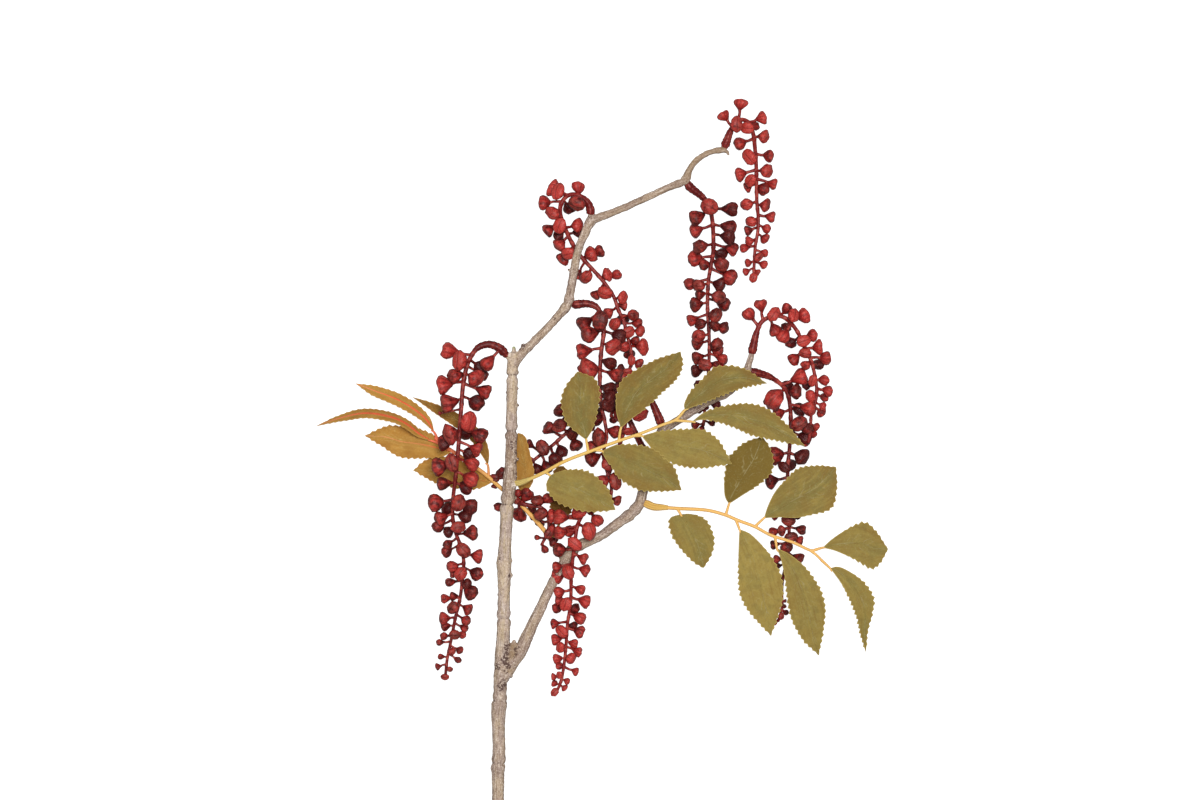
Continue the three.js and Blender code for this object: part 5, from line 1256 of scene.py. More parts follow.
@dataclass(frozen=True)
class BarkFinish:
    """Matt grey-brown bark with lengthwise fibres, specks, dark scars, painted shade and painted shadow."""

    warm: Colour = (0.81, 0.72, 0.61)
    grey: Colour = (0.76, 0.68, 0.63)
    stain: Colour = (0.74, 0.66, 0.50)
    light: Colour = (0.93, 0.87, 0.81)
    worn: Colour = (0.57, 0.47, 0.41)
    fibre_and_shade: Colour = (0.44, 0.34, 0.28)
    scar_and_shadow: Colour = (0.30, 0.21, 0.19)
    green: Colour = (0.60, 0.68, 0.44)
    olive: Colour = (0.57, 0.46, 0.33)
    depth: float = 0.5
    shine: float = 0.3

    def material(self) -> bpy.types.Material:
        """Makes the bark's material.

        Returns:
            The material.
        """
        shader = Shader("bark")
        grain, place, seam = shader.vector("grain"), shader.place(), shader.attribute("seam")

        def pattern(along: tuple[float, float, float], even: float, detail: float) -> Value:
            """Noise drawn out along the limb, and even noise at the seams between limbs."""
            drawn_out = shader.noise(shader.combined("MULTIPLY", grain, along), 1.0, detail, 0.62)
            return drawn_out + (shader.noise(place, even * PER_MM, detail, 0.62) - drawn_out) * seam

        worn = shader.attribute("worn")
        patches = pattern((0.12, 0.12, 0.05), 0.08, 3.0)
        fibres = pattern((1.5, 1.5, 0.12), 0.8, 4.0)
        streaks = pattern((0.6, 0.6, 0.06), 0.4, 3.0)
        specks = shader.noise(place, 0.85 * PER_MM, 3.0, 0.65)
        grit = shader.noise(place, 1.9 * PER_MM, 1.0, 0.6)
        # Painted shade: the fibre colour goes over the sides of the limbs that turn away from above
        rim = shader.attribute("turned").eased(0.25, 0.95)
        # The dark tint holds the scars, buds and joints, and the painted leaf shadow on the main stem's
        # right side
        scars = shader.attribute("dark") * (0.25 + specks.eased(0.62, 0.42) * 0.9)
        colour = shader.painted(
            self.warm,
            (patches.eased(0.4, 0.58), self.grey),
            (streaks.eased(0.53, 0.63) * 0.55, self.stain),
            (streaks.eased(0.46, 0.36) * 0.45, self.worn),
            (worn * (0.35 + patches * 0.7), self.worn),
            (specks.eased(0.53, 0.66) * 0.6, self.light),
            (fibres.eased(0.47, 0.35) * (0.5 + worn * 0.45), self.fibre_and_shade),
            (fibres.eased(0.56, 0.68) * (0.55 + worn * 0.35), self.light),
            (specks.eased(0.43, 0.33) * (0.5 + worn * 0.4), self.fibre_and_shade),
            (grit.eased(0.4, 0.28) * 0.55, self.fibre_and_shade),
            (grit.eased(0.6, 0.72) * 0.4, self.light),
            # painted shade on the sides turned away from above
            (rim * (0.35 + fibres.eased(0.6, 0.4) * 0.3), self.fibre_and_shade),
            (shader.attribute("pale"), self.light),
            (shader.attribute("green"), self.green),
            (shader.attribute("olive"), self.olive),
            # scars and joints, and the painted leaf shadow, in the scar colour
            (scars.eased(0.15, 0.8) * 0.9, self.scar_and_shadow),
        )
        height = fibres * 0.6 + specks * 0.6 + grit * 0.2
        return shader.finish(colour, 0.74 + fibres * 0.2, height, self.depth, self.shine)


@dataclass(frozen=True)
class BerryFinish:
    """Satin dark red with a thin grey-brown brushed patina, painted highlights and painted shade."""

    red: Colour = (0.72, 0.19, 0.17)
    deep: Colour = (0.27, 0.03, 0.03)
    patina: Colour = (0.48, 0.28, 0.23)
    stalk: Colour = (0.52, 0.11, 0.10)
    rose: Colour = (0.93, 0.45, 0.38)
    flutes: float = 9.0
    depth: float = 0.36
    shine: float = 0.28

    def material(self) -> bpy.types.Material:
        """Makes the berries' material.

        Returns:
            The material.
        """
        shader = Shader("berry")
        local, place = shader.vector("local"), shader.place()
        along, across, rise = shader.parts(local)
        tone = shader.attribute("tone")
        cloud = shader.noise(place, 0.3 * PER_MM, 2.0)
        brushed = shader.noise(shader.combined("MULTIPLY", local, (3.0, 16.0, 3.0)), 1.0, 3.0, 0.6)
        fine = shader.noise(place, 1.3 * PER_MM, 2.0, 0.6)
        cap, crown = rise.eased(0.46, 0.56), rise.eased(0.49, 0.6)
        body, is_stalk = rise.eased(-0.04, 0.08) * (1 - cap), rise.eased(-0.3, -0.6)
        flute = (across.turn_from(along) * self.flutes + brushed * 9).wave() * 0.5 + 0.5
        bright = (tone * 0.5 + cloud).eased(0.3, 0.75)
        # Painted highlight: the highlight colour on the rim's shoulder and the cap, broken up by brushed
        # noise
        gleam = abs(rise - 0.42).eased(0.2, 0.0) * 0.6 + cap * 0.4
        gleam = gleam * (brushed * 0.5 + fine * 0.5).eased(0.42, 0.62)
        patina = (brushed * 0.45 + cloud * 0.3 + fine * 0.25 - tone * 0.12).eased(0.45, 0.6)
        # Painted shade: the crease line on the cap, the berry's foot and its sides turned away from above
        # are darkened; the flute lines and fine specks are the berries' own marks
        seam = abs(across + (brushed - 0.5) * 0.12).eased(0.055, 0.0) * cap
        foot = rise.eased(0.3, 0.0) * 0.62
        line = flute.eased(0.45, 0.1) * (body + cap * 0.5) * 0.5
        dark = (seam * 0.5).at_least(foot).at_least(line).at_least(fine.eased(0.43, 0.3) * 0.55)
        dark = dark.at_least(shader.attribute("turned").eased(0.35, 1.0) * 0.6)
        colour = shader.painted(
            self.deep,
            ((cloud + tone * 0.28).eased(0.22, 0.62), self.red),
            (gleam * (0.3 + bright * 0.5), self.rose),
            (patina * (tone + 1.3).eased(0.3, 1.3) * (0.1 + crown * 0.62), self.patina),
            (dark, self.deep),
            (is_stalk * (0.5 + tone * 0.45).at_least(0.1), self.stalk),
            # painted highlight in patches along the stalks
            (is_stalk * cloud.eased(0.45, 0.7) * 0.35, self.rose),
            (shader.attribute("groove") * 0.75, self.deep),
        )
        height = brushed * 0.4 + fine * 0.35 - seam * 0.6 + flute * body * 0.35
        return shader.finish(colour, 0.3 + fine * 0.24, height, self.depth, self.shine)


@dataclass(frozen=True)
class LeafFinish:
    """Matt printed leaf cloth with a paler rib, faint branch veins and a thin edge."""

    name: str
    body: Colour
    centre: Colour
    brown: Colour
    vein: Colour
    rib: Colour
    rib_tip: Colour
    edge: Colour
    light: Colour
    dark: Colour
    vein_share: float
    veins: float = 10.0
    slope: float = 0.3
    depth: float = 0.25
    shine: float = 0.22

    def material(self) -> bpy.types.Material:
        """Makes the leaf cloth's material.

        Returns:
            The material.
        """
        shader = Shader(self.name)
        on_blade, place, tone = shader.vector("place"), shader.place(), shader.attribute("tone")
        side, run, _ = shader.parts(on_blade)
        mottle = shader.noise(place, 0.22 * PER_MM, 2.0, 0.5)
        broad = shader.noise(place, 0.07 * PER_MM, 3.0, 0.55)
        patch = shader.noise(place, 0.11 * PER_MM, 2.0, 0.55)
        grit = shader.noise(place, 0.9 * PER_MM, 2.0, 0.6)
        weave = shader.noise(place, 2.2 * PER_MM, 1.0)
        showing = shader.noise(place, 0.1 * PER_MM, 1.0)
        along = shader.combined("MULTIPLY", on_blade, (0.0, 2.2, 0.55))
        aside = shader.combined("MULTIPLY", place, (0.06 * PER_MM, 0.06 * PER_MM, 0.0))
        streak = shader.noise(shader.combined("ADD", along, aside), 1.0, 3.0, 0.55)
        width, shade, strong = abs(side), shader.attribute("shade"), shader.attribute("bold")
        brown = width * 0.35 + broad * 1.2 + mottle * 0.4 + run * 0.3 + tone * 0.3 - 0.58
        phase = (run - width * self.slope + (mottle - 0.5) * 0.1 + (broad - 0.5) * 0.3) * self.veins
        vein = abs(phase.fraction() - 0.5).eased(0.16, 0.0)
        vein = vein * (0.7 - width).eased(0.0, 0.55) * mottle.eased(0.4, 0.62)
        lit = (showing + (run - 0.4) * 0.25).eased(0.44, 0.62)
        rib_colour = shader.painted(
            self.rib,
            (run.eased(0.55, 0.95), self.rib_tip),
            (run.eased(0.2, 0.45) * (1 - strong), self.vein),
        )
        colour = shader.painted(
            self.body,
            ((1 - width * 1.3 + (broad - 0.5) * 2).eased(0.1, 0.9) * 0.8, self.centre),
            (brown.eased(0.5, 0.9) * 0.7, self.brown),
            (shade.at_least(0.0), self.light),
            (mottle.eased(0.47, 0.7) * 0.25, self.light),
            (mottle.eased(0.53, 0.3) * 0.28, self.brown),
            (patch.eased(0.5, 0.7) * 0.35, self.brown),
            (patch.eased(0.5, 0.3) * 0.3, self.centre),
            (streak.eased(0.5, 0.7) * 0.34, self.light),
            (streak.eased(0.48, 0.3) * 0.34, self.brown),
            ((0.0 - shade).at_least(0.0), self.dark),
            (vein * (0.12 + lit * 0.88) * self.vein_share, self.vein),
            (shader.attribute("rib") * (lit.at_least(strong) * 0.85 + 0.1), rib_colour),
            (shader.attribute("edge").eased(0.7, 0.1) * 0.6, self.edge),
            (grit.eased(0.54, 0.72) * 0.18, self.vein),
            (grit.eased(0.46, 0.3) * 0.22, self.brown),
        )
        height = weave * 0.3 + mottle * 0.3 + vein * 0.6
        return shader.finish(colour, 0.66 + mottle * 0.2, height, self.depth, self.shine)


@dataclass(frozen=True)
class StalkFinish:
    """Satin stalk, from one colour at its collar over two more to its tip, with painted shade on its sides.
    """

    name: str
    collar: Colour
    middle: Colour
    tip: Colour
    groove: Colour
    depth: float = 0.25

    def material(self) -> bpy.types.Material:
        """Makes the stalk's material.

        Returns:
            The material.
        """
        shader = Shader(self.name)
        place, run = shader.place(), shader.attribute("run")
        mottle = shader.noise(place, 0.4 * PER_MM, 3.0)
        dark = (shader.attribute("groove") * 0.6).at_least(mottle.eased(0.42, 0.25) * 0.4)
        # Painted shade: the groove colour on the sides of the stalk that turn away from above
        dark = dark.at_least(shader.attribute("turned").eased(0.3, 1.0) * 0.55)
        colour = shader.painted(
            self.collar,
            ((run + (mottle - 0.5) * 0.06).eased(0.02, 0.16), self.middle),
            (run.eased(0.55, 0.95), self.tip),
            (mottle.eased(0.45, 0.75) * 0.3, self.collar),
            (dark, self.groove),
        )
        return shader.finish(colour, 0.5 + mottle * 0.15, mottle, self.depth)


OLIVE_CLOTH = LeafFinish(
    name="leaf_olive", body=(0.505, 0.43, 0.205), centre=(0.465, 0.43, 0.225), brown=(0.48, 0.36, 0.145),
    vein=(0.66, 0.61, 0.44), rib=(0.70, 0.66, 0.48), rib_tip=(0.60, 0.55, 0.35),
    edge=(0.76, 0.67, 0.38), light=(0.63, 0.545, 0.275), dark=(0.44, 0.35, 0.11), vein_share=0.55,
)
OCHRE_CLOTH = LeafFinish(
    name="leaf_ochre", body=(0.72, 0.52, 0.22), centre=(0.70, 0.53, 0.25), brown=(0.62, 0.42, 0.16),
    vein=(0.84, 0.74, 0.47), rib=(0.94, 0.37, 0.25), rib_tip=(0.92, 0.56, 0.38),
    edge=(0.80, 0.62, 0.32), light=(0.80, 0.62, 0.32), dark=(0.42, 0.28, 0.08), vein_share=0.6,
)
YELLOW_STALK = StalkFinish(
    "stalk_yellow", (0.86, 0.79, 0.48), (0.90, 0.73, 0.38), (0.89, 0.72, 0.39), (0.68, 0.48, 0.20)
)
AMBER_STALK = StalkFinish(
    "stalk_amber", (0.95, 0.77, 0.40), (0.93, 0.72, 0.39), (0.92, 0.71, 0.39), (0.70, 0.50, 0.22)
)
ORANGE_STALK = StalkFinish(
    "stalk_orange", (0.85, 0.60, 0.27), (0.93, 0.70, 0.37), (0.95, 0.44, 0.30), (0.72, 0.40, 0.16)
)


def dress(
    piece: bpy.types.Object, material: bpy.types.Material, node: str, edge: float | None = None
) -> None:
    """Finishes a piece: its shading, its material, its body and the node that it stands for.

    Args:
        piece: the piece.
        material: its material.
        node: the node that it replaces.
        edge: the angle in degrees past which an edge stays sharp, or None where none does.
    """
    select([piece])
    if edge is None:
        bpy.ops.object.shade_smooth()
    else:
        bpy.ops.object.shade_smooth_by_angle(angle=math.radians(edge))
    mesh = piece.data
    mesh.update()
    # turned: how far each vertex faces away from straight up; the bark, berry and stalk materials paint
    # shade with it
    mark(mesh, "turned", 1 - np.clip(read(mesh, "normal")[:, 2], 0, 1))
    mesh.materials.clear()
    mesh.materials.append(material)
    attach(piece, "root")
    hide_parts(node)
    mesh.calc_loop_triangles()
    log.info("%s: %d triangles for %s", piece.name, len(mesh.loop_triangles), node)


# The branch


@dataclass
class Bark:
    """The branch's skin while it is worked on: its vertices, and what is known of each.

    The grain is a vertex's place across, above and along its limb, in millimetres. The seam is how
    near it is to where two limbs meet, the lift how far it is raised, and a tint how much a paint shows.
    """

    places: Array
    normals: Array
    limbs: Array
    grain: Array
    seam: Array
    lift: Array
    tints: dict[str, Array]


@dataclass
class Branch:
    """The forked branch, with its joints, scars, stub and twigs."""

    shoots: Sequence[Shoot]
    voxel: float = 0.55
    smooth_steps: int = 3
    smooth_share: float = 0.5
    twig_radii: tuple[float, ...] = (2.0, 2.0, 1.9, 1.8, 1.7, 1.7)
    fibre_depth: float = 0.2
    lump_depth: float = 0.34
    roughness: float = 0.45
    fibre_scale: tuple[float, float, float] = (0.9, 0.9, 0.1)
    wander_scale: tuple[float, float, float] = (0.3, 0.3, 0)
    seam_scale: float = 0.6
    lump_scale: float = 0.33
    lump_shift: float = 7.0
    rough_scale: float = 0.95
    rough_shift: float = 3.0
    seam_reach: tuple[float, float] = (0.6, 2.4)
    groove_width: float = 1.25
    groove_wander: float = 1.2
    groove_line: tuple[float, float] = (0.42, 0.75)
    lip_height: float = 0.4
    lip_away: float = 3.2
    lip_width: float = 1.6
    upper_side: tuple[float, float] = (-0.5, 0.2)
    green_tip: tuple[float, float, float] = (514.3, 346.5, 27)
    green_reach: float = 1.6
    browner: Rows = ((588, 600, 0.22), (680, 692, 0.3))
    browner_limb: int = 2
    limb_wear: float = 0.8
    stem_wear: float = 0.15
    lower_wear: tuple[float, float, float] = (628, 650, 0.5)
    patch_starts: tuple[float, float] = (428, 434)
    patch_ends: tuple[float, float] = (495, 507)

    def limb_pieces(self) -> list[bpy.types.Object]:
        """Models the limbs, twigs, stub, nub, fork swelling and buds, before they are fused.

        Returns:
            The pieces.
        """
        pieces = []
        for limb in LIMBS:
            path, radii = limb.finely()
            pieces.append(tube(path.points, radii, Section.LIMB))
        for shoot in self.shoots:
            points = np.linspace(shoot.root, shoot.twig_end, len(self.twig_radii))
            pieces.append(tube(points, np.array(self.twig_radii)))
        for shape in (Limb.of(rows) for rows in (STUB, NUB, FORK_SWELLING)):
            pieces.append(tube(shape.points, shape.radii))
        for *place, radius in BUDS:
            deselect_all()
            centre = tuple(at(*place) * MM)
            bpy.ops.mesh.primitive_ico_sphere_add(subdivisions=2, radius=radius * MM, location=centre)
            pieces.append(bpy.context.object)
        return pieces

    def fused(self) -> bpy.types.Object:
        """Models the branch as one skin.

        Returns:
            The branch.
        """
        piece = joined("branch_bark", self.limb_pieces())
        modified(piece, "REMESH", {"mode": "VOXEL", "voxel_size": self.voxel * MM})
        modified(piece, "SMOOTH", {"factor": self.smooth_share, "iterations": self.smooth_steps})
        return piece

    def lie_to(self, limb: Limb, places: Array) -> tuple[Array, Array]:
        """How places lie to a limb.

        Args:
            limb: the limb.
            places: the places, in millimetres.

        Returns:
            How far each is from the limb's bark, and its place across, above and along the limb.
        """
        path, radii = limb.finely()
        directions = np.gradient(path.points, axis=0)
        directions /= np.linalg.norm(directions, axis=1)[:, None]
        sides = np.cross(directions, UP)
        sides /= np.linalg.norm(sides, axis=1)[:, None]
        tree = KDTree(len(path.points))
        for i, point in enumerate(path.points):
            tree.insert(point, i)
        tree.balance()
        found = [tree.find(place) for place in places]
        nearest = np.array([i for _, i, _ in found])
        offsets = places - path.points[nearest]
        axes = (sides[nearest], np.cross(sides, directions)[nearest], directions[nearest])
        aside, above, beyond = (np.einsum("ij,ij->i", offsets, axis) for axis in axes)
        gaps = np.array([away for _, _, away in found]) - radii[nearest]
        return gaps, np.column_stack([aside, above, path.distances[nearest] + beyond])

    def surveyed(self, mesh: bpy.types.Mesh) -> Bark:
        """Reads the skin and finds how each vertex lies to the limbs.

        Args:
            mesh: the skin's mesh.

        Returns:
            The bark, plain but for the lift of its fibres and lumps.
        """
        places = read(mesh) / MM
        gaps, grains = zip(*(self.lie_to(limb, places) for limb in LIMBS))
        limbs, ordered = np.argmin(gaps, axis=0), np.sort(gaps, axis=0)
        grain = np.array(grains)[limbs, np.arange(len(places))]
        seam = 1 - smoothstep(*self.seam_reach, ordered[1] - ordered[0])
        fibres = noise_at(grain * self.fibre_scale)
        fibres = fibres + (noise_at(places * self.seam_scale) - fibres) * seam
        lumps = noise_at(places * self.lump_scale + self.lump_shift)
        lumps = lumps + noise_at(places * self.rough_scale + self.rough_shift) * self.roughness
        lift = fibres * self.fibre_depth + lumps * self.lump_depth
        tints = {name: np.zeros(len(places)) for name in ("dark", "pale", "green", "olive")}
        return Bark(places, read(mesh, "normal"), limbs, grain, seam, lift, tints)

    def cut_joints(self, bark: Bark) -> None:
        """Cuts the groove of each joint round its limb, between two low lips, and darkens it.

        Args:
            bark: the bark.
        """
        line, faint = self.groove_line
        for limb, x, y, depth in RINGS:
            centre = Route(LIMBS[limb].points).nearest_in_plan(at(x, y, 0))[1]
            wander = noise_at(bark.grain * self.wander_scale + (0, 0, y))
            away = bark.grain[:, 2] - centre - wander * self.groove_wander
            lips = self.lip_height * bell(np.abs(away) - self.lip_away, self.lip_width)
            here = np.where(bark.limbs == limb, depth * (1 - bark.seam), 0)
            bark.lift -= here * (bell(away, self.groove_width) - lips)
            bark.tints["dark"] += here * bell(away, line) * (faint + wander)

    def add_marks(self, bark: Bark) -> None:
        """Raises and tints the scars, buds and patches, the painted leaf shadow and the green tip.

        Args:
            bark: the bark.
        """
        upper = smoothstep(*self.upper_side, bark.normals[:, 2])
        for tint, rows in MARKS.items():
            for x, y, radius, lift, strength in rows:
                across, up, _ = at(x, y, 0)
                away = np.hypot(bark.places[:, 0] - across, bark.places[:, 1] - up)
                share = bell(away, radius) * upper
                bark.lift += share * lift
                bark.tints[tint] += share * strength
        to_tip = np.linalg.norm(bark.places - at(*self.green_tip), axis=1)
        bark.tints["green"] += bell(to_tip, self.green_reach)

    def add_wear(self, bark: Bark) -> None:
        """Turns the upper branch browner towards its end, and wears the bark where it looks worn.

        Args:
            bark: the bark.
        """
        plan_x = PLAN_ORIGIN[0] + bark.places[:, 0] / MM_PER_STEP
        plan_y = PLAN_ORIGIN[1] - bark.places[:, 1] / MM_PER_STEP
        brown = sum(share * smoothstep(start, end, plan_x) for start, end, share in self.browner)
        bark.tints["olive"] += np.where(bark.limbs == self.browner_limb, brown, 0)
        start, end, share = self.lower_wear
        stem = self.stem_wear + share * smoothstep(start, end, plan_y)
        patch = smoothstep(*self.patch_starts, plan_y) * (1 - smoothstep(*self.patch_ends, plan_y))
        worn = np.where(bark.limbs > 0, self.limb_wear, stem + self.limb_wear * patch)
        bark.tints["worn"] = worn

    def build(self, material: bpy.types.Material) -> None:
        """Builds and dresses the branch.

        Args:
            material: the bark's material.
        """
        piece = self.fused()
        bark = self.surveyed(piece.data)
        self.cut_joints(bark)
        self.add_marks(bark)
        self.add_wear(bark)
        moved = bark.places + bark.normals * bark.lift[:, None]
        moved[:, 2] = np.maximum(moved[:, 2], 0.0)
        put(piece.data, moved * MM)
        mark(piece.data, "grain", bark.grain)
        for name, values in {**bark.tints, "seam": bark.seam}.items():
            mark(piece.data, name, np.clip(values, 0, 1))
        dress(piece, material, "branch")


# Racemes

# The berry, as shares of its width: its middle above its foot, and how flat it is
BERRY_MIDDLE = 0.36
BERRY_OVAL = 0.78

# A berry's flutes, point and crease: the heights and radii that they rise between, and their sizes
FLUTE_RISE = (0.1, 0.45)
POINT_RISE = (0.45, 0.55)
POINT_RADII = (0.0, 0.25)
POINT_LIFT = 0.04
CREASE_RISE = (0.34, 0.5)
CREASE_WIDTH = 0.16

# How berries grow past their rows' widths, and which count as small and large
ROW_GROWTH = 1.16
FULLNESS = 1.2
SMALL_WIDTH = 5.2
LARGE_WIDTH = 13.0
BUDS_OF_SMALL = 0.5

# The berries' stalks: the least length, how far each leans on along the axis, the radii and the bend
LEAST_STALK = 0.8
STALK_OVERLAP = 0.3
LEAN_ON = 0.3
PEDICEL_RADII = (0.6, 1.05)
PEDICEL_BEND = 0.6
ON_STALK = (0.0, 0.0, -1.0)

# What varies from berry to berry; the shares are those of creased, fluted and plain berries
MOULD_SHARES = (0.3, 0.42, 0.28)
TONE_SPREAD = (-0.4, 0.4)
WIDTH_SPREAD = (0.95, 1.05)
LENGTH_SPREAD = (0.95, 1.15)
DARK_LENGTH = 1.14
# Painted shade on berries that hang below their point on the axis: how much darker they get, and over what
# drop in millimetres
UNDER_SHADE = 0.35
UNDER_REACH = 4.0
LUMP_SHIFT = (-9, 9)
LUMP_SCALE = 3.2
LUMP_DEPTH = 0.11


@dataclass(frozen=True)
class Berry:
    """Where a berry stands, how it is turned, and its size."""

    point: Array
    along: Array
    centre: Array
    width: float
    is_small: bool
    roll: float
    tone: float

    @property
    def direction(self) -> Array:
        """The direction from the axis to the berry."""
        return unit(self.centre - self.point)

    @property
    def stalk(self) -> float:
        """How long the berry's stalk is."""
        return max(float(np.linalg.norm(self.centre - self.point)) - self.width * BERRY_MIDDLE, LEAST_STALK)

    def frame(self, base: float, scale: tuple[float, float, float], roll: float) -> Matrix:
        """Places a shape of unit size on the berry's stalk.

        Args:
            base: how far up the stalk the shape's foot is.
            scale: its size across, through and along the stalk.
            roll: how far it is turned about the stalk.

        Returns:
            What takes the shape to its place.
        """
        direction = self.direction
        across = unit(np.cross(self.along, direction))
        third = np.cross(across, direction)
        turned = Matrix(np.column_stack([across, -third, direction]).tolist()).to_4x4()
        place = (self.point + direction * base) * MM
        size = Matrix.Diagonal((*(s * MM for s in scale), 1.0))
        return Matrix.Translation(place) @ turned @ Matrix.Rotation(roll, 4, "Z") @ size


class Mould(Enum):
    """A form that racemes repeat: its sides, crease and flutes, and its rings' heights and radii."""

    CREASED = (
        12, 0.055, 0.0,
        ((-0.06, 0.12), (0.07, 0.23), (0.23, 0.4), (0.37, 0.5), (0.5, 0.46), (0.58, 0.29)),
    )
    FLUTED = (
        12, 0.01, 0.09,
        ((-0.06, 0.12), (0.06, 0.24), (0.22, 0.41), (0.38, 0.5), (0.5, 0.45), (0.57, 0.3)),
    )
    LOBED = (
        12, 0.06, 0.24,
        ((-0.06, 0.12), (0.08, 0.28), (0.26, 0.45), (0.42, 0.5), (0.56, 0.44), (0.66, 0.24)),
    )
    ROUND = (
        12, 0.03, 0.0,
        ((-0.06, 0.13), (0.05, 0.28), (0.18, 0.43), (0.36, 0.5), (0.52, 0.44), (0.63, 0.26)),
    )
    BUD = (8, 0.0, 0.0, ((-0.06, 0.15), (0.1, 0.31), (0.3, 0.46), (0.5, 0.43), (0.63, 0.25)))
    PEDICEL = (6, 0.0, 0.0, ((0.0, 1.5), (0.22, 1.05), (0.7, 0.9), (1.0, 1.1)))

    def raised(self) -> bpy.types.Object:
        """Raises the plain form from its lowest ring.

        Returns:
            The form, one unit wide or, for a pedicel, one unit long, standing on its foot.
        """
        sides, _, _, rings = self.value
        deselect_all()
        bpy.ops.mesh.primitive_circle_add(
            vertices=sides, radius=rings[0][1], fill_type="NGON", location=(0, 0, 0)
        )
        piece = bpy.context.object
        bpy.ops.object.mode_set(mode="EDIT")
        for (low, small), (high, large) in zip(rings, rings[1:]):
            bpy.ops.mesh.extrude_region_move(TRANSFORM_OT_translate={"value": (0, 0, high - low)})
            bpy.ops.transform.resize(value=(large / small, large / small, 1))
        bpy.ops.mesh.poke()
        bpy.ops.mesh.select_all(action="SELECT")
        bpy.ops.mesh.normals_make_consistent(inside=False)
        bpy.ops.object.mode_set(mode="OBJECT")
        return piece

    def modelled(self) -> bpy.types.Object:
        """Models the form with its crease, flutes and point, or a pedicel with its bend.

        Returns:
            The form.
        """
        piece = self.raised()
        places = read(piece.data)
        if self is Mould.PEDICEL:
            places[:, 0] += PEDICEL_BEND * np.sin(np.pi * places[:, 2])
            local = np.tile(ON_STALK, (len(places), 1))
        else:
            sides, crease, flute, _ = self.value
            radius = np.hypot(places[:, 0], places[:, 1])
            angle = np.arctan2(places[:, 1], places[:, 0])
            pinch = flute * (0.5 - 0.5 * np.cos(sides / 2 * angle)) * smoothstep(*FLUTE_RISE, places[:, 2])
            places[:, :2] *= (1 - pinch)[:, None]
            point = POINT_LIFT * (1 - smoothstep(*POINT_RADII, radius))
            places[:, 2] += point * smoothstep(*POINT_RISE, places[:, 2])
            cut = crease * smoothstep(*CREASE_RISE, places[:, 2])
            places[:, 2] -= cut * bell(places[:, 1], CREASE_WIDTH)
            places[:, 1] *= BERRY_OVAL
            local = places
        put(piece.data, places)
        mark(piece.data, "local", local)
        return piece


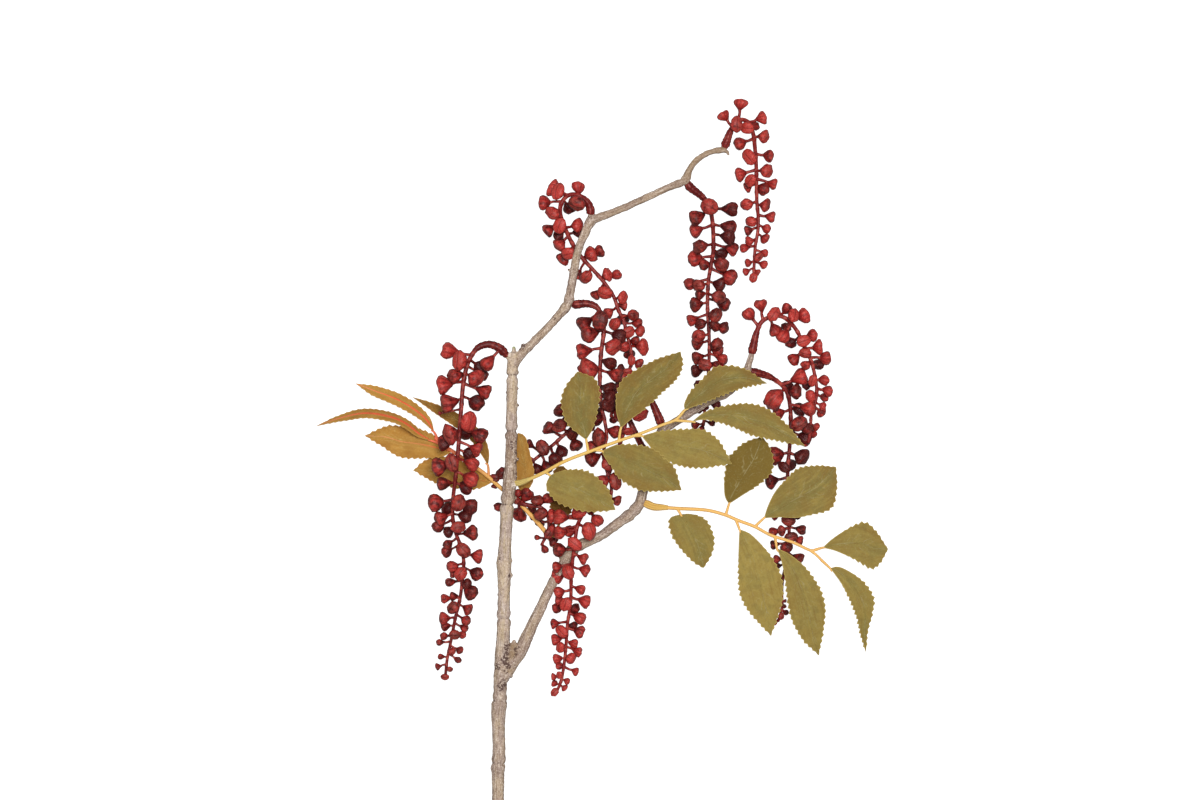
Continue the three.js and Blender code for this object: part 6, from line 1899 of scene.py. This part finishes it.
@dataclass
class Raceme:
    """A raceme: a ridged collar, a thin axis with knots, and all its berries on their stalks."""

    plan: RacemePlan
    shoot: Shoot
    axis_radii: tuple[float, float, float] = (RACEME_COLLAR_RADIUS, 1.15, 0.75)
    axis_overlap: float = 3.0
    axis_girth: float = 1.32
    knot_girth: float = 0.3
    sleeve_radii: tuple[float, ...] = (2.6, 3.05, 2.65, 2.15, 1.45)
    sleeve_step: float = 0.8
    sleeve_end: float = 0.8
    sleeve_waist: float = 0.45
    rim_length: float = 1.2
    wrinkle: float = 0.05
    fine_wrinkle: float = 0.7
    wrinkle_waves: tuple[float, float] = (2.3, 4.1)
    sharp_edge: float = 75.0

    def axis_radius(self, distance: float) -> float:
        """The plain radius of the axis.

        Args:
            distance: how far from its start.

        Returns:
            The radius there.
        """
        collar, length = self.plan.collar, self.shoot.path.length
        if distance < collar:
            return mix(self.axis_radii[:2], distance / collar)
        return mix(self.axis_radii[1:], (distance - collar) / (length - collar))

    def knots(self) -> Array:
        """Finds where the axis has its knots.

        Returns:
            The distance of each along the axis.
        """
        span, knots, run = self.shoot.path.length - self.plan.begins, [], 0.0
        while run < span:
            knots.append(self.plan.begins + run)
            run += mix(self.plan.pitches, (run / span) ** 2)
        return np.array(knots)

    def berries(self) -> list[Berry]:
        """Sets the berries of the plan on the axis.

        Returns:
            The berries.
        """
        path, draw, berries = self.shoot.path, random.Random(self.plan.seed + 2), []
        for x, y, height, width, tone in self.plan.berries:
            centre = at(x, y, height)
            away, distance, _ = path.nearest_in_plan(centre)
            point, along = path.place_at(max(distance - LEAN_ON * away, 0.0))
            roll = draw.uniform(0, math.pi)
            small = width < SMALL_WIDTH
            berries.append(Berry(point, along, centre, width * ROW_GROWTH, small, roll, tone))
        log.info("%s: %d berries", self.plan.name, len(berries))
        return berries

    def axis(self) -> list[bpy.types.Object]:
        """Models the axis and the collar.

        Returns:
            The two pieces.
        """
        path, collar, seed = self.shoot.path, self.plan.collar, self.plan.seed
        distances = evenly(max(collar - self.axis_overlap, 0.0), path.length, TUBE_STEP)
        away = np.min(np.abs(distances[:, None] - self.knots()[None]), axis=1)
        slim = np.array([self.axis_radius(d) for d in distances])
        slim = slim * (self.axis_girth + self.knot_girth * bell(away, 1.0))
        thread = tube(*rounded(path.points_at(distances), slim))
        end = collar + (self.plan.begins - collar) * self.sleeve_end
        distances = evenly(0, end, self.sleeve_step)
        bands = [0, self.rim_length, collar * self.sleeve_waist, collar, end]
        broad, fine = (np.sin(distances * wave + seed) for wave in self.wrinkle_waves)
        wrinkles = self.wrinkle * (broad + self.fine_wrinkle * fine)
        radii = np.interp(distances, bands, self.sleeve_radii) * (1 + wrinkles)
        sleeve = tube(*reaching_back(path.points_at(distances), radii, self.plan.reach), Section.RIDGED)
        for piece in (thread, sleeve):
            mark(piece.data, "local", np.tile(ON_STALK, (len(piece.data.vertices), 1)))
            mark(piece.data, "tone", self.plan.tone.value)
            piece.data.attributes.remove(piece.data.attributes["run"])
        return [thread, sleeve]

    def copies(self, moulds: dict[Mould, bpy.types.Object]) -> list[bpy.types.Object]:
        """Copies the moulds for the berries and their stalks.

        Args:
            moulds: the form of each mould.

        Returns:
            The copies, each with its own mesh.
        """
        draw, pieces = random.Random(self.plan.seed), []
        for berry in self.berries():
            mould = draw.choices((Mould.CREASED, Mould.FLUTED, Mould.ROUND), MOULD_SHARES)[0]
            if berry.is_small and draw.random() < BUDS_OF_SMALL:
                mould = Mould.BUD
            if berry.width > LARGE_WIDTH:
                mould = Mould.LOBED
            # Painted shade: a berry that hangs below its point on the axis is made darker
            under = smoothstep(0.0, UNDER_REACH, berry.point[2] - berry.centre[2])
            tone = self.plan.tone.value + draw.uniform(*TONE_SPREAD) + berry.tone - UNDER_SHADE * under
            wide, girth = draw.uniform(*WIDTH_SPREAD), berry.width * FULLNESS
            long = draw.uniform(*LENGTH_SPREAD) * (1.0 if self.plan.tone is Tone.BRIGHT else DARK_LENGTH)
            size = (girth * wide, girth / wide, girth * long)
            thin = mix(PEDICEL_RADII, berry.width / self.plan.width)
            stalk_size = (thin, thin, berry.stalk + STALK_OVERLAP)
            frames = {
                mould: berry.frame(berry.stalk, size, berry.roll),
                Mould.PEDICEL: berry.frame(0.0, stalk_size, berry.roll * 2),
            }
            for kind, matrix in frames.items():
                piece = moulds[kind].copy()
                piece.data = moulds[kind].data.copy()
                piece.matrix_world = matrix
                mark(piece.data, "tone", tone)
                if kind is not Mould.PEDICEL:
                    places = read(piece.data)
                    shift = np.array([draw.uniform(*LUMP_SHIFT) for _ in range(3)])
                    lumps = LUMP_DEPTH * noise_at(places * LUMP_SCALE + shift)
                    put(piece.data, places * (1 + lumps)[:, None])
                bpy.context.collection.objects.link(piece)
                pieces.append(piece)
        return pieces

    def build(self, material: bpy.types.Material, moulds: dict[Mould, bpy.types.Object]) -> None:
        """Builds and dresses the raceme.

        Args:
            material: the berries' material.
            moulds: the form of each mould.
        """
        piece = joined(self.plan.name + "_fine", [*self.axis(), *self.copies(moulds)])
        places = read(piece.data)
        places[:, 2] = np.maximum(places[:, 2], 0.0)
        put(piece.data, places)
        dress(piece, material, self.plan.name, self.sharp_edge)


# Leafy stems


@dataclass
class Blade:
    """A leaf's blade: a toothed sheet of cloth with a raised rib, on a short petiole."""

    plan: LeafPlan
    foot: Array
    tooth_pitch: float = 4.0
    tooth_lean: float = 0.62
    tooth_depths: tuple[float, float] = (0.55, -0.45)
    tooth_spread: tuple[float, float] = (0.65, 1.3)
    tooth_growth: tuple[float, float] = (0.6, 1.4)
    tooth_fade: tuple[float, float] = (0.85, 1.0)
    tooth_loss: float = 0.4
    toothed_half: float = 1.0
    columns: tuple[float, ...] = (0.25, 0.5, 0.75, 0.92, 1.0)
    rib_columns: tuple[float, ...] = (0.0, 0.5, 1.0, 1.5)
    rib_profile: tuple[float, ...] = (1.0, 0.8, 0.15, 0.0)
    rib_width: float = 0.6
    rib_height: float = 0.35
    rib_share: float = 0.3
    rib_girth: tuple[float, float] = (0.6, 0.5)
    rib_tapers: tuple[float, float] = (0.75, 0.6)
    bold_rib: tuple[float, float] = (0.6, 1.2)
    rim: tuple[float, float] = (0.8, 1.0)
    least_half: float = 1e-6
    ripple: float = 0.35
    ripple_waves: tuple[float, float, float] = (23, 2, 20)

    def edge(self, rows: Rows) -> Route:
        """One side of the outline, from base to tip."""
        return Route.through([(x, y, 0.0) for x, y in (self.plan.base, *rows, self.plan.tip)])

    def bites(self, shares: Array, teeth: int) -> Array:
        """Draws how deep each tooth is.

        Args:
            shares: how far each row of the blade is from base to tip, from 0 to 1.
            teeth: how many teeth a side has.

        Returns:
            How far the edge stands out at each tooth's point, and in at each notch.
        """
        start, end = (self.plan.bare * share for share in self.tooth_growth)
        size = self.plan.teeth * smoothstep(start, end, shares)
        size = size * (1 - self.tooth_loss * smoothstep(*self.tooth_fade, shares))
        draw = random.Random(round(self.foot[0] * 10) + round(self.foot[1]))
        size = size * np.array([draw.uniform(*self.tooth_spread) for _ in shares])
        return np.where(np.isclose((shares * teeth) % 1, self.tooth_lean), *self.tooth_depths) * size

    def spread(self, shares: Array, half: Array) -> tuple[Array, Array]:
        """Spreads the columns of the blade across it.

        Args:
            shares: how far each row of the blade is from base to tip, from 0 to 1.
            half: half the blade's width at each row.

        Returns:
            How far to the right each row's columns lie, and how much of the rib is on each column.
        """
        plain, extra = self.rib_girth
        rib = self.rib_width * (plain + extra * self.plan.rib) * (1 - self.rib_tapers[0] * shares)
        rib = np.minimum(rib, half * self.rib_share)
        offsets, outer = [rib * step for step in self.rib_columns], rib * self.rib_columns[-1]
        offsets += [outer + (half - outer) * share for share in self.columns]
        profile = [*self.rib_profile, *(0.0 for _ in self.columns)]
        across = np.column_stack([*(-offset for offset in offsets[:0:-1]), *offsets])
        return across, np.array([*profile[:0:-1], *profile])

    def heights(self, shares: Array, side: Array, ribs: Array, tone: float) -> Array:
        """Bends the blade.

        Args:
            shares: how far each row is from base to tip, from 0 to 1, as a column.
            side: how far to the right each point is, from -1 to 1.
            ribs: how much of the rib is on each column.
            tone: the blade's tone, which also shifts its ripple.

        Returns:
            The height of each point.
        """
        swell = np.sin(np.pi * shares)
        start, end = self.plan.heights
        height = start + (end - start) * shares + self.plan.arch * swell
        height = height + swell * (self.plan.fold * side**2 + self.plan.roll * side)
        height = height + self.rib_height * ribs * (1 - self.rib_tapers[1] * shares)
        along, across, shift = self.ripple_waves
        wave = np.sin(shares * along + side * across + tone * shift)
        return height + self.ripple * wave * side**2 * swell

    def build(self, tone: float) -> bpy.types.Object:
        """Models the blade's sheet, before it is given its thickness.

        Args:
            tone: how much browner the blade is.

        Returns:
            The sheet.
        """
        edges = [self.edge(rows) for rows in (self.plan.left, self.plan.right)]
        teeth = round(max(edge.length for edge in edges) / self.tooth_pitch)
        shares = np.sort(np.concatenate([np.arange(teeth + 1), np.arange(teeth) + self.tooth_lean])) / teeth
        left, right = (edge.points_at(edge.length * shares) for edge in edges)
        half = np.linalg.norm(right - left, axis=1) / 2
        across, ribs = self.spread(shares, half)
        side = np.clip(across / np.maximum(half, self.least_half)[:, None], -1, 1)
        outward = (right - left) / np.maximum(2 * half, self.least_half)[:, None]
        rim = smoothstep(*self.rim, np.abs(side)) * np.sign(side)
        reach = across + rim * self.bites(shares, teeth)[:, None] * (half > self.toothed_half)[:, None]
        places = ((left + right) / 2)[:, None] + outward[:, None] * reach[:, :, None]
        places[:, :, 2] = self.heights(shares[:, None], side, ribs, tone)
        rows, columns = across.shape
        deselect_all()
        bpy.ops.mesh.primitive_grid_add(x_subdivisions=columns - 1, y_subdivisions=rows - 1, size=MM)
        piece = bpy.context.object
        put(piece.data, places.reshape(-1, 3) * MM)
        run = np.repeat(shares[:, None], columns, axis=1)
        marks = {
            "place": np.stack([side, run, across], axis=2).reshape(-1, 3),
            "rib": np.repeat(ribs[None] * min(self.plan.rib, 1.0), rows, axis=0).ravel(),
            "shade": self.plan.shade,
            "bold": np.interp(self.plan.rib, self.bold_rib, (0, 1)),
            "edge": (half[:, None] - np.abs(across)).ravel(),
            "tone": tone,
        }
        for name, values in marks.items():
            mark(piece.data, name, values)
        return piece


@dataclass
class LeafyStem:
    """A leafy stem: a collar, a stalk and seven toothed leaves on their petioles."""

    plan: LeafyStemPlan
    shoot: Shoot
    axes: list[Route] = field(default_factory=list)
    blades: list[Blade] = field(default_factory=list)
    cloth_thickness: float = 0.45
    cloth_edge: float = 40.0
    stalk_edge: float = 50.0
    tone_spread: tuple[float, float] = (-0.5, 0.5)
    axis_radius: float = 1.25
    axis_taper: float = 0.25
    sleeve_radii: tuple[float, ...] = (1.95, 2.1, 1.75, 1.2)
    sleeve_step: float = 0.7
    sleeve_end: float = 2.0
    sleeve_waist: float = 0.7
    rim_length: float = 1.0
    fork_radius: float = 0.85
    petiole_places: tuple[float, ...] = (0, 0.4, 0.8, 1)
    petiole_radii: tuple[float, ...] = (1.0, 0.8, 0.6, 0.3)
    petiole_overlap: float = 2.5
    petiole_run: float = 0.1

    def __post_init__(self) -> None:
        """Finds where each petiole springs from the stalk."""
        self.axes = [self.shoot.path, *(Route.through(rows) for rows in self.plan.forks)]
        for leaf in self.plan.leaves:
            found = (axis.nearest_in_plan(at(*leaf.foot, 0)) for axis in self.axes)
            self.blades.append(Blade(leaf, min(found, key=lambda near: near[0])[2]))

    def build_blades(self, material: bpy.types.Material, slot: str) -> None:
        """Builds and dresses the seven blades.

        Args:
            material: the cloth's material.
            slot: the cloth's name, which is not used.
        """
        draw = random.Random(len(self.plan.name) + int(self.plan.root[0]))
        sheets = [blade.build(draw.uniform(*self.tone_spread)) for blade in self.blades]
        piece = joined(self.plan.name + "_blades", sheets)
        close_seams(piece, face_outwards=False)
        modified(piece, "SOLIDIFY", {"thickness": self.cloth_thickness * MM, "offset": 0.0})
        dress(piece, material, self.plan.name, self.cloth_edge)

    def sleeve(self) -> bpy.types.Object:
        """Models the ridged collar.

        Returns:
            The collar.
        """
        collar, end = self.plan.collar, self.plan.collar + self.sleeve_end
        distances = evenly(0, end, self.sleeve_step)
        bands = [0, self.rim_length, collar * self.sleeve_waist, end]
        radii = np.interp(distances, bands, self.sleeve_radii) * self.plan.flare
        points = self.shoot.path.points_at(distances)
        sleeve = tube(*reaching_back(points, radii, COLLAR_REACH), Section.RIDGED)
        mark(sleeve.data, "run", 0.0)
        return sleeve

    def petiole(self, blade: Blade) -> bpy.types.Object:
        """Models a leaf's petiole.

        Args:
            blade: the leaf's blade.

        Returns:
            The petiole, which runs a little way under the blade.
        """
        leaf = blade.plan
        base, tip = (at(*place, leaf.heights[0]) for place in (leaf.base, leaf.tip))
        end = base + unit(tip - base) * self.petiole_overlap
        points = Route(np.array([blade.foot, base, end])).points
        radii = np.interp(np.linspace(0, 1, len(points)), self.petiole_places, self.petiole_radii)
        petiole = tube(points, radii)
        share = self.shoot.path.nearest_in_plan(blade.foot)[1] / self.shoot.path.length
        mark(petiole.data, "run", min(1.0, share + self.petiole_run))
        return petiole

    def build_stalk(self, material: bpy.types.Material) -> None:
        """Builds and dresses the stalk with its collar, forks and petioles.

        Args:
            material: the stalk's material.
        """
        path = self.shoot.path
        distances = evenly(0, path.length, TUBE_STEP)
        radii = self.axis_radius * self.plan.girth * (1 - self.axis_taper * distances / path.length)
        pieces = [tube(*rounded(path.points_at(distances), radii)), self.sleeve()]
        for axis in self.axes[1:]:
            distances = evenly(0, axis.length, TUBE_STEP)
            pieces.append(tube(axis.points_at(distances), np.full(len(distances), self.fork_radius)))
        pieces += [self.petiole(blade) for blade in self.blades]
        piece = joined(self.plan.name + "_stalk", pieces)
        dress(piece, material, self.plan.name, self.stalk_edge)


# The spray


@dataclass
class Spray:
    """The whole spray: a branch, ten racemes and three leafy stems."""

    racemes: list[Raceme] = field(default_factory=list)
    leafy_stems: list[LeafyStem] = field(default_factory=list)

    def __post_init__(self) -> None:
        """Finds where every shoot springs."""
        self.racemes = [Raceme(plan, Shoot.of(plan, RACEME_COLLAR_RADIUS)) for plan in RACEME_PLANS]
        for plan in LEAFY_STEM_PLANS:
            self.leafy_stems.append(LeafyStem(plan, Shoot.of(plan, LEAF_COLLAR_RADIUS)))

    def build(self) -> None:
        """Builds and dresses every piece."""
        Branch([thing.shoot for thing in (*self.racemes, *self.leafy_stems)]).build(BarkFinish().material())
        olive, ochre = OLIVE_CLOTH.material(), OCHRE_CLOTH.material()
        cloths = ((olive, OLIVE_CLOTH.name), (olive, OLIVE_CLOTH.name), (ochre, OCHRE_CLOTH.name))
        stalks = (YELLOW_STALK, AMBER_STALK, ORANGE_STALK)
        for stem, cloth, stalk in zip(self.leafy_stems, cloths, stalks):
            stem.build_blades(*cloth)
            stem.build_stalk(stalk.material())
        berry_red = BerryFinish().material()
        moulds = {mould: mould.modelled() for mould in Mould}
        for raceme in self.racemes:
            raceme.build(berry_red, moulds)
        for source in moulds.values():
            bpy.data.objects.remove(source)


# The studio


@dataclass(frozen=True)
class SoftBox:
    """A square light, by its place and size in metres and its power in watts."""

    name: str
    place: tuple[float, float, float]
    size: float
    power: float


@dataclass
class Studio:
    """A pale floor, soft lights and a camera that looks straight down."""

    frame_width: float = 780.0
    lens: float = 100.0
    sensor: float = 36.0
    focus_height: float = 20.0
    view_centre: tuple[float, float] = (600.0, 400.0)
    floor_size: float = 6.0
    floor_grey: float = 0.6
    floor_roughness: float = 0.9
    floor_light: float = 1.0
    glow: float = 0.4
    boxes: tuple[SoftBox, ...] = (
        SoftBox("key_light", (0.25, 0.45, 3.0), 0.7, 64.0),
        SoftBox("fill_light", (-1.0, 0.3, 2.4), 1.6, 7.0),
    )

    def build_floor(self) -> None:
        """Builds the floor that the spray lies on."""
        deselect_all()
        bpy.ops.mesh.primitive_plane_add(size=self.floor_size, location=(0, 0, 0))
        floor = bpy.context.object
        floor.name = "floor"
        shader = Shader("floor")
        finish = {
            "Base Color": linear((self.floor_grey,) * 3),
            "Roughness": self.floor_roughness,
            "Emission Color": linear((1.0, 1.0, 1.0)),
            "Emission Strength": self.floor_light,
        }
        for socket, value in finish.items():
            shader.feed(shader.surface.inputs[socket], value)
        floor.data.materials.append(shader.material)
        floor.visible_diffuse = floor.visible_glossy = False

    def build_lights(self) -> None:
        """Builds the lights and the even glow of the room."""
        for box in self.boxes:
            light = bpy.data.lights.new(box.name, "AREA")
            light.size = box.size
            light.energy = box.power
            lamp = bpy.data.objects.new(box.name, light)
            lamp.location = box.place
            lamp.rotation_euler = (-lamp.location).to_track_quat("-Z", "Y").to_euler()
            bpy.context.collection.objects.link(lamp)
        world = bpy.data.worlds.new("room")
        world.use_nodes = True
        background = world.node_tree.nodes["Background"]
        background.inputs["Color"].default_value = (1.0, 1.0, 1.0, 1.0)
        background.inputs["Strength"].default_value = self.glow
        bpy.context.scene.world = world
        bpy.context.scene.view_settings.view_transform = "Standard"

    def build_camera(self) -> None:
        """Builds the camera, straight above the middle of its view."""
        data = bpy.data.cameras.new("camera")
        data.lens = self.lens
        data.sensor_width = self.sensor
        camera = bpy.data.objects.new("camera", data)
        distance = self.frame_width * self.lens / self.sensor
        camera.location = Vector(at(*self.view_centre, self.focus_height + distance) * MM)
        bpy.context.collection.objects.link(camera)
        bpy.context.scene.camera = camera


def main() -> None:
    """Builds the spray and its studio."""
    logging.basicConfig(level=logging.INFO, format="%(name)s: %(message)s")
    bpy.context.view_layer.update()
    Spray().build()
    studio = Studio()
    studio.build_floor()
    studio.build_lights()
    studio.build_camera()


if __name__ == "__main__":
    main()
